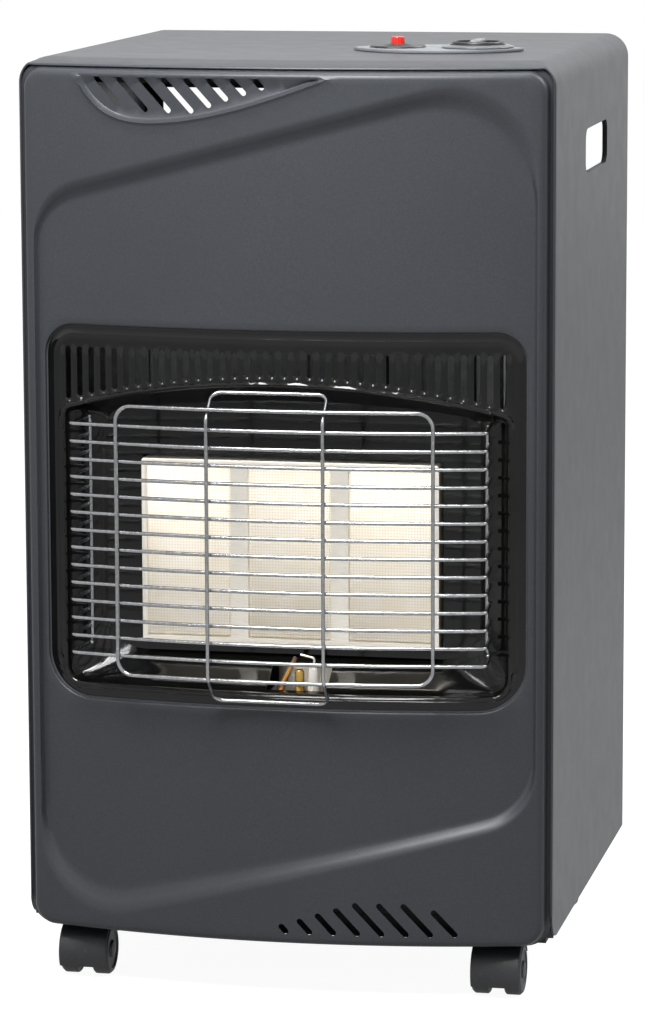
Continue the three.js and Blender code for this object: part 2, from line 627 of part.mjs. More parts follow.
function pilotBracket() {
  const top = BURNER.bottom - GAP;
  const profile = [[-184, 237], [-136, 237], [-136, top], [-147.2, top], [-147.2, top - 1.5],
    [-137.5, top - 1.5], [-137.5, 238.5], [-184, 238.5]].map(([y, z]) => new THREE.Vector2(y, z));
  const strip = alongX(profile, -14, 30);
  const gasHole = rod(10.5, PILOT_Y, 230, 245, 3);
  const ceramicHole = rod(21.5, PILOT_Y, 230, 245, 3.6);
  const couple = wire([thermocoupleAt(-0.2), thermocoupleAt(0.9)], 2.6, 8);
  return cut(strip, gasHole, ceramicHole, couple);
}

function thermocoupleAt(t) {
  return new THREE.Vector3(THREE.MathUtils.lerp(-9.5, 7.5, t), PILOT_Y, THREE.MathUtils.lerp(232, 266, t));
}

function pilotBurner() {
  const stem = turned([
    [0, 229], [4.5, 229], [4.5, 236.5], [2.6, 236.5], [2.6, 239],
    [3.8, 239], [3.8, 254], [3, 256.5], [0, 256.5],
  ], 14).translate(10.5, PILOT_Y, 0);
  const port = block(5, 10.5, PILOT_Y - 1.2, PILOT_Y + 1.2, 249, 253);
  return cut(stem, port);
}

function electrodeCeramic() {
  return turned([
    [0, 226], [2.8, 226], [3.2, 236], [3.2, 240], [4.6, 241], [4.6, 250], [3.4, 258], [0, 258],
  ], 14).translate(21.5, PILOT_Y, 0);
}

function electrodeWire() {
  return wire(bends([
    [21.5, PILOT_Y, 258 + GAP], [22.8, PILOT_Y, 266, 2.5], [11.5, PILOT_Y, 268.5],
  ], 3), 0.9);
}

// ---------------------------------------------------------------- the controls
const CUP = { radius: 24, floor: CASING_TOP - 6 };

function controlPlate() {
  const plate = alongZ(lensOutline(96, CONTROL_Y, 68, 43), CASING_TOP + GAP, PLATE_TOP);
  const cup = rod(KNOB_X, CONTROL_Y, CUP.floor, CASING_TOP + 1, CUP.radius, 20);
  const well = rod(KNOB_X, CONTROL_Y, CUP.floor + 1.6, PLATE_TOP + 2, CUP.radius - 2.2, 20);
  const spindleHole = rod(KNOB_X, CONTROL_Y, CUP.floor - 2, CASING_TOP, 5.5);
  const bodyHole = rod(BUTTON_X, CONTROL_Y, CASING_TOP - 5, PLATE_TOP + 2, 10);
  return cut(join(plate, cup), well, spindleHole, bodyHole);
}

function piezoCollar() {
  return turned([
    [6.6, PLATE_TOP + GAP], [22.5, PLATE_TOP + GAP], [21.5, PLATE_TOP + 1.4],
    [8.6, PLATE_TOP + 1.4], [8.2, PLATE_TOP + 2.6], [6.6, PLATE_TOP + 2.6], [6.6, PLATE_TOP + GAP],
  ], 18).translate(BUTTON_X, CONTROL_Y, 0);
}

function piezoBody() {
  return turned([
    [0, CASING_TOP - 52], [7, CASING_TOP - 52], [7, CASING_TOP - 42], [9.4, CASING_TOP - 42],
    [9.4, PLATE_TOP - GAP], [6.6, PLATE_TOP - GAP], [6.6, CASING_TOP - 38], [0, CASING_TOP - 38],
  ], 12).translate(BUTTON_X, CONTROL_Y, 0);
}

// The red push button: a round plunger with a ribbed cap.
function piezoButton() {
  const plunger = turned([
    [0, CASING_TOP - 28], [4.6, CASING_TOP - 28], [4.6, CASING_TOP + 1], [5.3, CASING_TOP + 1],
    [5.3, CASING_TOP + 10], [4.4, CASING_TOP + 11], [0, CASING_TOP + 11],
  ], 12);
  const grooves = Array.from({ length: 9 }, (_, i) => {
    const a = (2 * Math.PI * i) / 9;
    return rod(5.9 * Math.cos(a), 5.9 * Math.sin(a), CASING_TOP + 6.5, CASING_TOP + 14, 1, 4);
  });
  return cut(plunger, ...grooves).translate(BUTTON_X, CONTROL_Y, 0);
}

function knobRing() {
  const z = PLATE_TOP + GAP;
  return turned([[22.4, z], [28.5, z], [28.2, z + 0.9], [23.6, z + 2.4], [22.4, z + 2.4], [22.4, z]], 20)
    .translate(KNOB_X, CONTROL_Y, 0);
}

const KNOB_TOP = PLATE_TOP + 5.1;
const GRIP = { half: 4, length: 17.5, floor: PLATE_TOP + 2.3 };

// A round knob whose top is scooped out on each side of the finger grip.
function knob() {
  const body = turned([
    [0, CASING_TOP + 0.5], [5, CASING_TOP + 0.5], [5, CASING_TOP + 2], [20, CASING_TOP + 2],
    [20.5, CASING_TOP + 3], [20.3, CASING_TOP + 6.6], [19.2, KNOB_TOP], [0, KNOB_TOP],
  ], 20);
  const scoop = (side) => alongZ(roundedOutline([
    [side * 5.4, -15 * side, 3, 2], [side * 16, -9 * side, 6, 3],
    [side * 16, 9 * side, 6, 3], [side * 5.4, 15 * side, 3, 2],
  ]), CASING_TOP + 5.2, CASING_TOP + 12);
  const seat = alongZ(box(-GRIP.half - GAP, GRIP.half + GAP, -GRIP.length - GAP, GRIP.length + GAP, 2.5, 3),
    GRIP.floor - GAP, CASING_TOP + 12);
  const bore = alongZ([...circle(0, 0, 3.4, 12)], CASING_TOP - 1, CASING_TOP + 4);
  return cut(body, scoop(-1), scoop(1), seat, bore);
}

function knobGrip() {
  const plan = box(-GRIP.half, GRIP.half, -GRIP.length, GRIP.length, 2.4, 3);
  const bar = alongZ(plan, GRIP.floor, KNOB_TOP + 1.4);
  const side = (s) => block(s > 0 ? 2.6 : -8, s > 0 ? 8 : -2.6, -30, 30, KNOB_TOP + 0.2, CASING_TOP + 15);
  return cut(bar, side(-1), side(1));
}

function gasValve() {
  const body = alongZ(box(105.5, 149.5, -54, -24, 4, 3), CASING_TOP - 46, CASING_TOP - 18);
  const neck = rod(KNOB_X, CONTROL_Y, CASING_TOP - 19, CASING_TOP - 12.2, 8);
  const magnet = rod(0, 0, -20, 6, 8, 16).rotateY(-Math.PI / 2).translate(104, -44, CASING_TOP - 36);
  const outlets = PIPES.map(({ out, z }) => rod(0, 0, -1, 8, 5, 6).rotateX(Math.PI / 2)
    .translate(out, -53, z));
  const bore = rod(KNOB_X, CONTROL_Y, CASING_TOP - 30, CASING_TOP - 8, 3.6);
  return cut(join(body, neck, magnet, ...outlets), bore);
}

function valveBracket() {
  const [flangeTop, flangeLow] = [CASING_TOP - 1.8, CASING_TOP - 3.2];
  const [trayTop, trayLow] = [CASING_TOP - 10.4, CASING_TOP - 11.8];
  const profile = [
    [-76, flangeTop], [-76, flangeLow], [-68.4, flangeLow], [-68.4, trayLow],
    [-10, trayLow], [-10, flangeLow], [-2, flangeLow], [-2, flangeTop],
    [-11.4, flangeTop], [-11.4, trayTop], [-67, trayTop], [-67, flangeTop],
  ].map(([y, z]) => new THREE.Vector2(y, z));
  const strap = alongX(profile.reverse(), 104, 151);
  return cut(strap, rod(KNOB_X, CONTROL_Y, CASING_TOP - 20, CASING_TOP, 6));
}

function valveSpindle() {
  const [low, high] = [CASING_TOP - 26, CASING_TOP + 3.6];
  return turned([[0, low], [3, low], [3, high], [0, high]], 12).translate(KNOB_X, CONTROL_Y, 0);
}

function hoseNozzle() {
  const ribs = [6, 13, 20].flatMap((z) => [[4.4, z], [5.8, z + 1.5]]);
  return turned([[0, 0], [7, 0], [7, 5], ...ribs, [4.2, 28], [2.6, 28], [2.6, 12], [0, 12]], 10)
    .rotateX(-Math.PI / 2).translate(KNOB_X, -24 + GAP, CASING_TOP - 32);
}

// ---------------------------------------------------------------- pipes and leads
const PIPES = [
  { name: 'gas_pipe_right', out: 143, z: CASING_TOP - 30, y: -90, down: 152, low: 190, to: 76 },
  { name: 'gas_pipe_centre', out: 130, z: CASING_TOP - 38, y: -99, down: 160, low: 181, to: 0 },
  { name: 'gas_pipe_left', out: 117, z: CASING_TOP - 30, y: -108, down: 168, low: 172, to: -76 },
];

function gasPipe({ out, z, y, down, low, to }) {
  return wire(bends([
    [out, -61 - GAP, z], [out, y, z, 7], [down, y, z, 7], [down, y, low, 9], [to, y, low, to > 0 ? 4.5 : 8],
    [to, -118, low, 4.5], [to, -118, 208 - GAP],
  ], 2), 3, 6);
}

function pilotPipe() {
  return wire(bends([
    [105.2 - GAP, -30, CASING_TOP - 40], [88, -30, CASING_TOP - 40, 8], [88, -30, CASING_TOP - 90, 8],
    [88, -80.5, CASING_TOP - 90, 8], [88, -80.5, 130, 8],
    [10.5, -80.5, 130, 8], [10.5, PILOT_Y, 130, 8], [10.5, PILOT_Y, 229 - GAP],
  ], 2), 2);
}

function thermocoupleLead() {
  const end = thermocoupleAt(0);
  return wire(bends([
    [84 - GAP, -44, CASING_TOP - 36], [76, -44, CASING_TOP - 36, 6], [76, -44, CASING_TOP - 80, 6],
    [76, -80.5, CASING_TOP - 80, 6], [76, -80.5, 140, 6],
    [end.x - 8, -80.5, 140, 6], [end.x - 8, PILOT_Y, 140, 6], [end.x - 8, PILOT_Y, 215, 6],
    [end.x - 0.3, PILOT_Y, end.z - 1.8],
  ], 2), 1.5, 5);
}

function ignitionLead() {
  return wire(bends([
    [BUTTON_X, CONTROL_Y, CASING_TOP - 52 - GAP], [BUTTON_X, CONTROL_Y, CASING_TOP - 72, 7],
    [BUTTON_X, -80.5, CASING_TOP - 72, 7],
    [BUTTON_X, -80.5, 160, 7], [21.5, -80.5, 160, 7], [21.5, PILOT_Y, 160, 7], [21.5, PILOT_Y, 226 - GAP],
  ], 2), 1.8, 6);
}

function thermocouple() {
  const rodBody = wire([thermocoupleAt(0), thermocoupleAt(0.94), thermocoupleAt(1)], 2, 8);
  const sleeve = wire([thermocoupleAt(0.26), thermocoupleAt(0.42)], 3, 8);
  return join(rodBody, sleeve);
}

// ---------------------------------------------------------------- base and rear cover
const PAN_FLOOR = 47.5;

function basePan() {
  const plan = (inset, top) => {
    const wide = HALF - SHEET - GAP - inset;
    const back = SHELL_REAR - SHEET - GAP - inset;
    const room = alongZ(box(-wide, wide, FRONT - 5, back, 0), PAN_FLOOR + inset, top);
    return cut(room, bow(block(-HALF - 8, HALF + 8, -70, SEAT_DEPTH + SHEET + GAP + inset, 0, 100)));
  };
  const lug = (side) => {
    const [near, far] = [side * (HALF - 15), side * (HALF - 7)];
    return block(Math.min(near, far), Math.max(near, far), -157, -144, 42, PAN_FLOOR + 1);
  };
  return join(cut(plan(0, 66), plan(SHEET, 80)), lug(-1), lug(1));
}

const COVER = { half: HALF - 10, bottom: 56, top: CASING_TOP - 170, thick: 1.2, press: 4.2, slope: 5 };
const COVER_VENT = { count: 11, pitch: 28, width: 7, height: 46, rows: [COVER.bottom + 40, COVER.top - 120] };

// The lift-away cover: a flat rim, a field pressed inwards, two rows of vents and a hand notch.
function rearCover() {
  const inside = REAR - COVER.thick;
  const floor = inside - COVER.press;
  const field = (inset) => box(-COVER.half + 19 + inset, COVER.half - 19 - inset,
    COVER.bottom + 22 + inset, COVER.top - 45 - inset, 12, 3);
  const pressedIn = loft([
    { outline: field(COVER.slope - COVER.thick), depth: floor },
    { outline: field(-COVER.thick), depth: inside + 0.2 },
  ]);
  const hollow = loft([
    { outline: field(COVER.slope), depth: floor + COVER.thick },
    { outline: field(0), depth: REAR },
    { outline: field(0), depth: REAR + 2 },
  ]);
  const plate = alongY(box(-COVER.half, COVER.half, COVER.bottom, COVER.top, 8, 3), inside, REAR);
  const notch = alongY(roundedOutline([
    [-50, COVER.top - 25, 12, 3], [50, COVER.top - 25, 12, 3],
    [50, COVER.top + 9, 0], [-50, COVER.top + 9, 0],
  ]), inside - 9, REAR + 9);
  const vents = COVER_VENT.rows.flatMap((z) => Array.from({ length: COVER_VENT.count }, (_, i) => {
    const x = (i - (COVER_VENT.count - 1) / 2) * COVER_VENT.pitch;
    return alongY(slotOutline(x, z, COVER_VENT.height, COVER_VENT.width, 90, 1), floor - 9, REAR + 9);
  }));
  return cut(join(plate, pressedIn), hollow, notch, ...vents);
}

// ---------------------------------------------------------------- castors
// Each piece is drawn about the castor's swivel axis, with the wheels' axle in front of it.
function castorPlate() {
  const plate = alongZ(box(-21, 21, -21, 21, 4, 2), PAN_FLOOR - GAP - 2, PAN_FLOOR - GAP);
  return join(plate, rod(0, 0, 28, PAN_FLOOR - 1, 4, 10));
}

function castorHood() {
  const { wheel, hood, hoodHalf, web, trail } = CASTOR;
  const sector = (radius, from, to, steps) => {
    const points = [new THREE.Vector2(0, 0)];
    for (let k = 0; k <= steps; k++) {
      const a = THREE.MathUtils.degToRad(from + ((to - from) * k) / steps);
      points.push(new THREE.Vector2(radius * Math.cos(a), radius * Math.sin(a)));
    }
    return points;
  };
  // seen along +X: y to the right, so the closed front of the hood is at 180 degrees
  const roof = alongX(sector(hood, 28, 213, 10), -hoodHalf, hoodHalf);
  const rooms = [-1, 1].map((side) => {
    const [from, to] = side > 0 ? [web, hoodHalf + 5] : [-hoodHalf - 5, -web];
    return alongX(circle(0, 0, wheel + 1, 18), from, to);
  });
  const boss = rod(0, trail, 14, 43.6 - wheel, 8, 12);
  const body = cut(join(roof, boss), ...rooms);
  const stemHole = rod(0, trail, 28 - wheel - 1, 60, 4.4, 10);
  const axleHole = alongX(circle(0, 0, 2.9, 8), -30, 30);
  return cut(body, stemHole, axleHole).translate(0, -trail, wheel);
}

function castorAxle() {
  return alongX(circle(0, 0, 2.5, 8), -18, 18).translate(0, -CASTOR.trail, CASTOR.wheel);
}

function castorWheel(side) {
  const sides = 16;
  const r = CASTOR.wheel / Math.cos(Math.PI / sides); // each facet lies at the wheel's radius
  const half = turned([
    [2.8, 6], [r - 0.6, 6], [r, 6.6], [r, 18], [r - 2, 20], [0, 21], [0, 18.5], [2.8, 18.5], [2.8, 6],
  ], sides);
  return half.rotateZ(Math.PI / sides).rotateY(Math.PI / 2).rotateY(side < 0 ? Math.PI : 0)
    .translate(0, -CASTOR.trail, CASTOR.wheel);
}

// ---------------------------------------------------------------- assembly
const materials = {
  cabinet: { color: 0x53575b, roughness: 0.55, metalness: 0.2 },
  enamel: { color: 0x1b1c1b, roughness: 0.12, metalness: 0.1 },
  stainless: { color: 0xc9cacb, roughness: 0.28, metalness: 0.95 },
  ceramic: { color: 0xf2e6cf, roughness: 0.85, metalness: 0 },
  porcelain: { color: 0xf4f2ec, roughness: 0.3, metalness: 0 },
  chrome: { color: 0xd6d8da, roughness: 0.18, metalness: 1 },
  galvanised: { color: 0x9da3a6, roughness: 0.45, metalness: 0.8 },
  aluminised: { color: 0x8b8d8e, roughness: 0.5, metalness: 0.8 },
  brass: { color: 0xc7a35a, roughness: 0.35, metalness: 0.9 },
  copper: { color: 0xb87a52, roughness: 0.35, metalness: 0.9 },
  blackPlastic: { color: 0x1d1e20, roughness: 0.5, metalness: 0 },
  greyPlastic: { color: 0x6d7073, roughness: 0.45, metalness: 0 },
  redPlastic: { color: 0xc62c20, roughness: 0.4, metalness: 0 },
  silverPlastic: { color: 0xb9bbbc, roughness: 0.3, metalness: 0.4 },
  leadSleeve: { color: 0x2b2b2b, roughness: 0.7, metalness: 0 },
};

const heater = new THREE.Group();
heater.name = 'portable_gas_cabinet_heater';

function add(name, geometry, material, parent = heater) {
  const mesh = new THREE.Mesh(geometry, new THREE.MeshStandardMaterial(materials[material]));
  mesh.name = name;
  parent.add(mesh);
  return mesh;
}

add('cabinet_shell', cabinetShell(), 'cabinet');
add('front_panel', frontPanel(), 'cabinet');
add('base_pan', basePan(), 'blackPlastic');
add('rear_cover', rearCover(), 'cabinet');
add('heat_shield', heatShield(), 'galvanised');

add('burner_surround', burnerSurround(), 'enamel');
add('guard', guard(), 'chrome');
add('burner_frame', burnerFrame(), 'stainless');
const outerEdge = BURNER.half - 1 - GAP;
const plaqueEdge = SEPARATOR.outer - 1.5;
const outerWidth = outerEdge - plaqueEdge;
const plaqueBase = BURNER.bottom + 1 + GAP;
const plaqueFace = PLAQUE_FRONT + PLAQUE_STEP;
add('plaque_left', plaque(outerWidth), 'ceramic')
  .position.set(-(outerEdge + plaqueEdge) / 2, plaqueFace, plaqueBase);
add('plaque_centre', plaque(2 * SEPARATOR.inner + 3), 'ceramic').position.set(0, plaqueFace, plaqueBase);
add('plaque_right', plaque(outerWidth), 'ceramic')
  .position.set((outerEdge + plaqueEdge) / 2, plaqueFace, plaqueBase);
add('burner_housing', burnerHousing(), 'aluminised');
add('injector_rail', injectorRail(), 'brass');

add('pilot_bracket', pilotBracket(), 'stainless');
add('pilot_burner', pilotBurner(), 'stainless');
add('thermocouple', thermocouple(), 'copper');
add('electrode_ceramic', electrodeCeramic(), 'porcelain');
add('electrode_wire', electrodeWire(), 'stainless');

add('control_plate', controlPlate(), 'greyPlastic');
add('piezo_collar', piezoCollar(), 'blackPlastic');
add('piezo_body', piezoBody(), 'blackPlastic');
add('piezo_button', piezoButton(), 'redPlastic');
add('knob_ring', knobRing(), 'silverPlastic');
const knobGroup = new THREE.Group();
knobGroup.position.set(KNOB_X, CONTROL_Y, 0);
heater.add(knobGroup);
add('knob', knob(), 'blackPlastic', knobGroup);
add('knob_grip', knobGrip(), 'silverPlastic', knobGroup);
add('valve_spindle', valveSpindle(), 'brass');
add('gas_valve', gasValve(), 'brass');
add('valve_bracket', valveBracket(), 'galvanised');
add('hose_nozzle', hoseNozzle(), 'brass');

PIPES.forEach((pipe) => add(pipe.name, gasPipe(pipe), 'aluminised'));
add('pilot_pipe', pilotPipe(), 'aluminised');
add('thermocouple_lead', thermocoupleLead(), 'copper');
add('ignition_lead', ignitionLead(), 'leadSleeve');

for (const [corner, sideX, sideY] of [['fl', -1, -1], ['fr', 1, -1], ['rl', -1, 1], ['rr', 1, 1]]) {
  const castor = new THREE.Group();
  castor.position.set(sideX * CASTOR.x, sideY * CASTOR.y, 0);
  heater.add(castor);
  add(`castor_plate_${corner}`, castorPlate(), 'galvanised', castor);
  add(`castor_hood_${corner}`, castorHood(), 'blackPlastic', castor);
  add(`castor_axle_${corner}`, castorAxle(), 'galvanised', castor);
  add(`castor_wheel_${corner}_left`, castorWheel(-1), 'blackPlastic', castor);
  add(`castor_wheel_${corner}_right`, castorWheel(1), 'blackPlastic', castor);
}

export default heater;
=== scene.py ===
# %% [markdown]
# # A portable gas cabinet heater, from frame to finish
# The heater is a folded steel cabinet on castors. Its front is one bowed pressing with a window, and
# behind the window a black enamelled reflector carries three ceramic plaques under a chromed wire guard.
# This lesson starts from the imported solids, which fix every size and every joint, and gives each piece
# the smooth shape and the surface of the real one. All sizes below are in millimetres.

# %% Load the frame
import json
import math

import bmesh
import bpy
import numpy as np
from mathutils import Matrix, Vector, geometry, kdtree

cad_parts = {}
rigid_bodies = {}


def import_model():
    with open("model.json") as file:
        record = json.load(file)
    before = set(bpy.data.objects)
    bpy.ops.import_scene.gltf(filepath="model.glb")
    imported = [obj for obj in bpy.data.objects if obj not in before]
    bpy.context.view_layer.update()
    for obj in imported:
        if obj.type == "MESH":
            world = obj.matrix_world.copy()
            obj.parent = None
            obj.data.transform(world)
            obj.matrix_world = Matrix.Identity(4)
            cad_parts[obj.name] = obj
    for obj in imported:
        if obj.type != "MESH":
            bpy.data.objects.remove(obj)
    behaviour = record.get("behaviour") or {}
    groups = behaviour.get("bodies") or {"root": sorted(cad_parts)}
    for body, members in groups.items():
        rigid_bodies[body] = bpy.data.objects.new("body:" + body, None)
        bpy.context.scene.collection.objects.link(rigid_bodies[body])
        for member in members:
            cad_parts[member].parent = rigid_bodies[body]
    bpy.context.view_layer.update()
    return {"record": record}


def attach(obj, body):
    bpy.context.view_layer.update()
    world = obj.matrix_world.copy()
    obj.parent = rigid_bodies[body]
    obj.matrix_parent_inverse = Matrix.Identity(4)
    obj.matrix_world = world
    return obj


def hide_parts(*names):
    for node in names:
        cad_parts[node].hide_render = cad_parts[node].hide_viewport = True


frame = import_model()
scene = bpy.context.scene
MM = 0.001
body_of = {node: body for body, nodes in frame["record"]["behaviour"]["bodies"].items() for node in nodes}

# %% [markdown]
# ## The camera
# The camera stands where the photographer stood: far back with a long lens, a little to the right and
# above the top. The numbers are a position, two angles and a focal length, so nothing has to be aimed.

# %% The camera
CAMERA_AT = Vector((711.5, -3459.2, 932.6)) * MM
YAW, PITCH, ROLL = (math.radians(a) for a in (11.731, 9.326, -0.218))
LENS, SENSOR_WIDTH = 154.44, 36.0
camera = bpy.data.objects.new("camera", bpy.data.cameras.new("camera"))
scene.collection.objects.link(camera)
camera.data.sensor_width, camera.data.lens = SENSOR_WIDTH, LENS
camera.data.clip_start, camera.data.clip_end = 0.1, 50
camera.location = CAMERA_AT
turned_round = Matrix.Rotation(YAW, 3, "Z")
tipped_down = Matrix.Rotation(math.pi / 2 - PITCH, 3, "X")
camera.rotation_euler = (turned_round @ tipped_down @ Matrix.Rotation(ROLL, 3, "Z")).to_euler()
scene.camera = camera
print("camera with a", round(LENS, 1), "mm lens")

# %% [markdown]
# ## One small function for nodes
# Materials and Geometry Nodes trees are both graphs. One helper adds a node, sets its properties and
# plugs its inputs, so that each finish below reads as a list of what it is made of. Colours are written
# as the sRGB hex values that a colour picker shows, and turned to the linear values that the shader needs.

# %% Node and colour helpers
def add(tree, kind, settings=(), inputs=()):
    """A new node of that kind. Inputs are numbers, colours or other nodes' sockets, by name or number."""
    made = tree.nodes.new(kind)
    for key, value in dict(settings).items():
        setattr(made, key, value)
    for key, value in dict(inputs).items():
        socket = made.inputs[key]
        if isinstance(value, bpy.types.NodeSocket):
            tree.links.new(value, socket)
        else:
            socket.default_value = value
    return made


def linear(hexa):
    """The linear colour of an sRGB hex value such as "#53575b"."""
    parts = [int(hexa[i:i + 2], 16) / 255 for i in (1, 3, 5)]
    return tuple(c / 12.92 if c <= 0.04045 else ((c + 0.055) / 1.055) ** 2.4 for c in parts) + (1.0,)


def finish(name, **sockets):
    """A new material with its shader; returns the material, its tree, the shader and Object coordinates."""
    material = bpy.data.materials.new(name)
    material.use_nodes = True
    tree = material.node_tree
    tree.nodes.clear()
    shader = add(tree, "ShaderNodeBsdfPrincipled", (), {k.replace("_", " "): v for k, v in sockets.items()})
    add(tree, "ShaderNodeOutputMaterial", (), {"Surface": shader.outputs[0]})
    place = add(tree, "ShaderNodeTexCoord").outputs["Object"]
    return material, tree, shader, place


def noise(tree, place, size_mm, detail=3, rough=0.55):
    """A noise whose lumps are about size_mm wide; returns its value."""
    return add(tree, "ShaderNodeTexNoise", (), {
        "Vector": place, "Scale": 1000 / size_mm, "Detail": detail, "Roughness": rough}).outputs["Fac"]


def blend_colours(tree, factor, *stops):
    """Runs a value through a ramp of (position, hex) stops."""
    ramp = add(tree, "ShaderNodeValToRGB", (), {"Fac": factor})
    elements = ramp.color_ramp.elements
    while len(elements) < len(stops):
        elements.new(0.5)
    for element, (position, hexa) in zip(elements, stops):
        element.position = position
        element.color = linear(hexa)
    return ramp.outputs["Color"]


def spread(tree, value, low, high, to_low, to_high):
    """Maps a value from one range to another."""
    mapped = add(tree, "ShaderNodeMapRange", (), {
        "Value": value, "From Min": low, "From Max": high, "To Min": to_low, "To Max": to_high})
    return mapped.outputs["Result"]


def drift(tree, place, size_mm, low, high):
    """A value that wanders between low and high, in lumps about size_mm wide."""
    return spread(tree, noise(tree, place, size_mm), 0.3, 0.7, low, high)


def dress(tree, shader, colour, gloss):
    """Gives the shader a colour and a roughness that vary over the surface."""
    tree.links.new(colour, shader.inputs["Base Color"])
    tree.links.new(gloss, shader.inputs["Roughness"])


def bumpy(tree, shader, height, depth_mm, before=None):
    """Adds a bump of a real depth to the shader, over an earlier one if given."""
    inputs = {"Height": height, "Distance": depth_mm * MM, "Strength": 1.0}
    if before is not None:
        inputs["Normal"] = before
    bump = add(tree, "ShaderNodeBump", (), inputs)
    tree.links.new(bump.outputs["Normal"], shader.inputs["Normal"])
    return bump.outputs["Normal"]


print("helpers ready")

# %% [markdown]
# ## Painted steel
# The cabinet is sheet steel with a stoved metallic grey powder paint. Close up, powder paint is not
# smooth: it flows into a fine orange peel about 1.5 mm wide, and its aluminium flakes make it sparkle a
# little. Its colour drifts slightly over a large panel. The base of the cabinet has the same paint in black.

# %% Painted steel
def powder_paint(name, dark, mid, light, roughness, flake):
    """Powder paint: three hex greys, its gloss, and how much of it is metal flake."""
    material, tree, shader, place = finish(name, Metallic=flake, IOR=1.5, Specular_IOR_Level=0.27)
    clouds = noise(tree, place, 140, 2)
    grain = noise(tree, place, 1.1, 2, 0.7)
    mixed = add(tree, "ShaderNodeMath", {"operation": "MULTIPLY_ADD"}, {0: clouds, 1: 0.25, 2: grain})
    colour = blend_colours(tree, spread(tree, mixed.outputs[0], 0.3, 0.95, 0, 1),
                           (0.0, dark), (0.5, mid), (1.0, light))
    dress(tree, shader, colour, drift(tree, place, 26, roughness - 0.02, roughness + 0.02))
    peel = bumpy(tree, shader, noise(tree, place, 1.6, 2), 0.035)
    bumpy(tree, shader, noise(tree, place, 0.5, 1), 0.012, peel)
    return material


cabinet_paint = powder_paint("metallic_grey_powder_paint", "#323438", "#383a3e", "#3f4246", 0.4, 0.15)
base_paint = powder_paint("black_powder_paint", "#17181a", "#1e1f21", "#26272a", 0.5, 0.0)
print("paints:", cabinet_paint.name, base_paint.name)

# %% [markdown]
# ## Vitreous enamel
# The reflector is steel dipped in glass. Black vitreous enamel is smooth and wet looking, with a faint
# waviness where it flowed before it set, and tiny pinholes. The deep gloss makes the dark dish show
# streaks of light, and the guard's wires twice.

# %% Vitreous enamel
def vitreous_enamel():
    """Black glass on steel: its tone, its gloss, the waviness of its flow and its pinholes."""
    material, tree, shader, place = finish("black_vitreous_enamel", IOR=1.52, Specular_IOR_Level=0.3)
    tone = blend_colours(tree, noise(tree, place, 60), (0.3, "#080908"), (0.7, "#101110"))
    dress(tree, shader, tone, drift(tree, place, 18, 0.06, 0.16))
    flow = bumpy(tree, shader, noise(tree, place, 14, 2), 0.10)
    cells = add(tree, "ShaderNodeTexVoronoi", (), {"Vector": place, "Scale": 1000 / 6.0})
    bumpy(tree, shader, spread(tree, cells.outputs["Distance"], 0.0, 0.06, 0, 1), 0.03, flow)
    return material


enamel = vitreous_enamel()
print("enamel:", enamel.name)

# %% [markdown]
# ## Bare and plated metals
# Metals keep the default index of refraction and differ in colour, in roughness and in the marks their
# making left: drawing lines along a tube, rolling grain on sheet, crystal spangle on galvanised steel,
# and a mirror skin on chromed wire.

# %% Metals
def rolled_metal(name, dark, light, roughness, grain_mm, stretch, depth=0.01):
    """A metal whose grain is drawn out: `stretch` says how much longer the marks are along each axis."""
    material, tree, shader, place = finish(name, Metallic=1.0)
    squeeze = [1 / s for s in stretch]
    drawn = add(tree, "ShaderNodeMapping", (), {"Vector": place, "Scale": squeeze}).outputs[0]
    grain = noise(tree, drawn, grain_mm, 4, 0.6)
    colour = blend_colours(tree, grain, (0.3, dark), (0.7, light))
    dress(tree, shader, colour, spread(tree, grain, 0.3, 0.7, roughness - 0.05, roughness + 0.08))
    bumpy(tree, shader, grain, depth)
    return material


def galvanised():
    """Hot-dip zinc: flat crystals 5 to 9 mm wide, each with its own shade and gloss."""
    material, tree, shader, place = finish("galvanised_sheet", Metallic=1.0)
    crystals = add(tree, "ShaderNodeTexVoronoi", (), {"Vector": place, "Scale": 1000 / 7.0})
    shade = add(tree, "ShaderNodeSeparateColor", (), {"Color": crystals.outputs["Color"]}).outputs["Red"]
    colour = blend_colours(tree, shade, (0.0, "#8d9396"), (1.0, "#b3b8ba"))
    dress(tree, shader, colour, spread(tree, shade, 0, 1, 0.32, 0.5))
    bumpy(tree, shader, noise(tree, place, 3), 0.02)
    return material


def hot_copper():
    """Copper that has been heated at its tip: it goes from copper through straw to a dull violet."""
    material, tree, shader, place = finish("heat_tinted_copper", Metallic=1.0)
    height = add(tree, "ShaderNodeSeparateXYZ", (), {"Vector": place}).outputs["Z"]
    heat = spread(tree, height, 0.238, 0.268, 0, 1)
    colour = blend_colours(tree, heat, (0.0, "#b9794c"), (0.55, "#c79a58"), (0.85, "#8f6a55"),
                           (1.0, "#6a5a5e"))
    dress(tree, shader, colour, drift(tree, place, 2, 0.28, 0.45))
    bumpy(tree, shader, noise(tree, place, 0.8), 0.01)
    return material


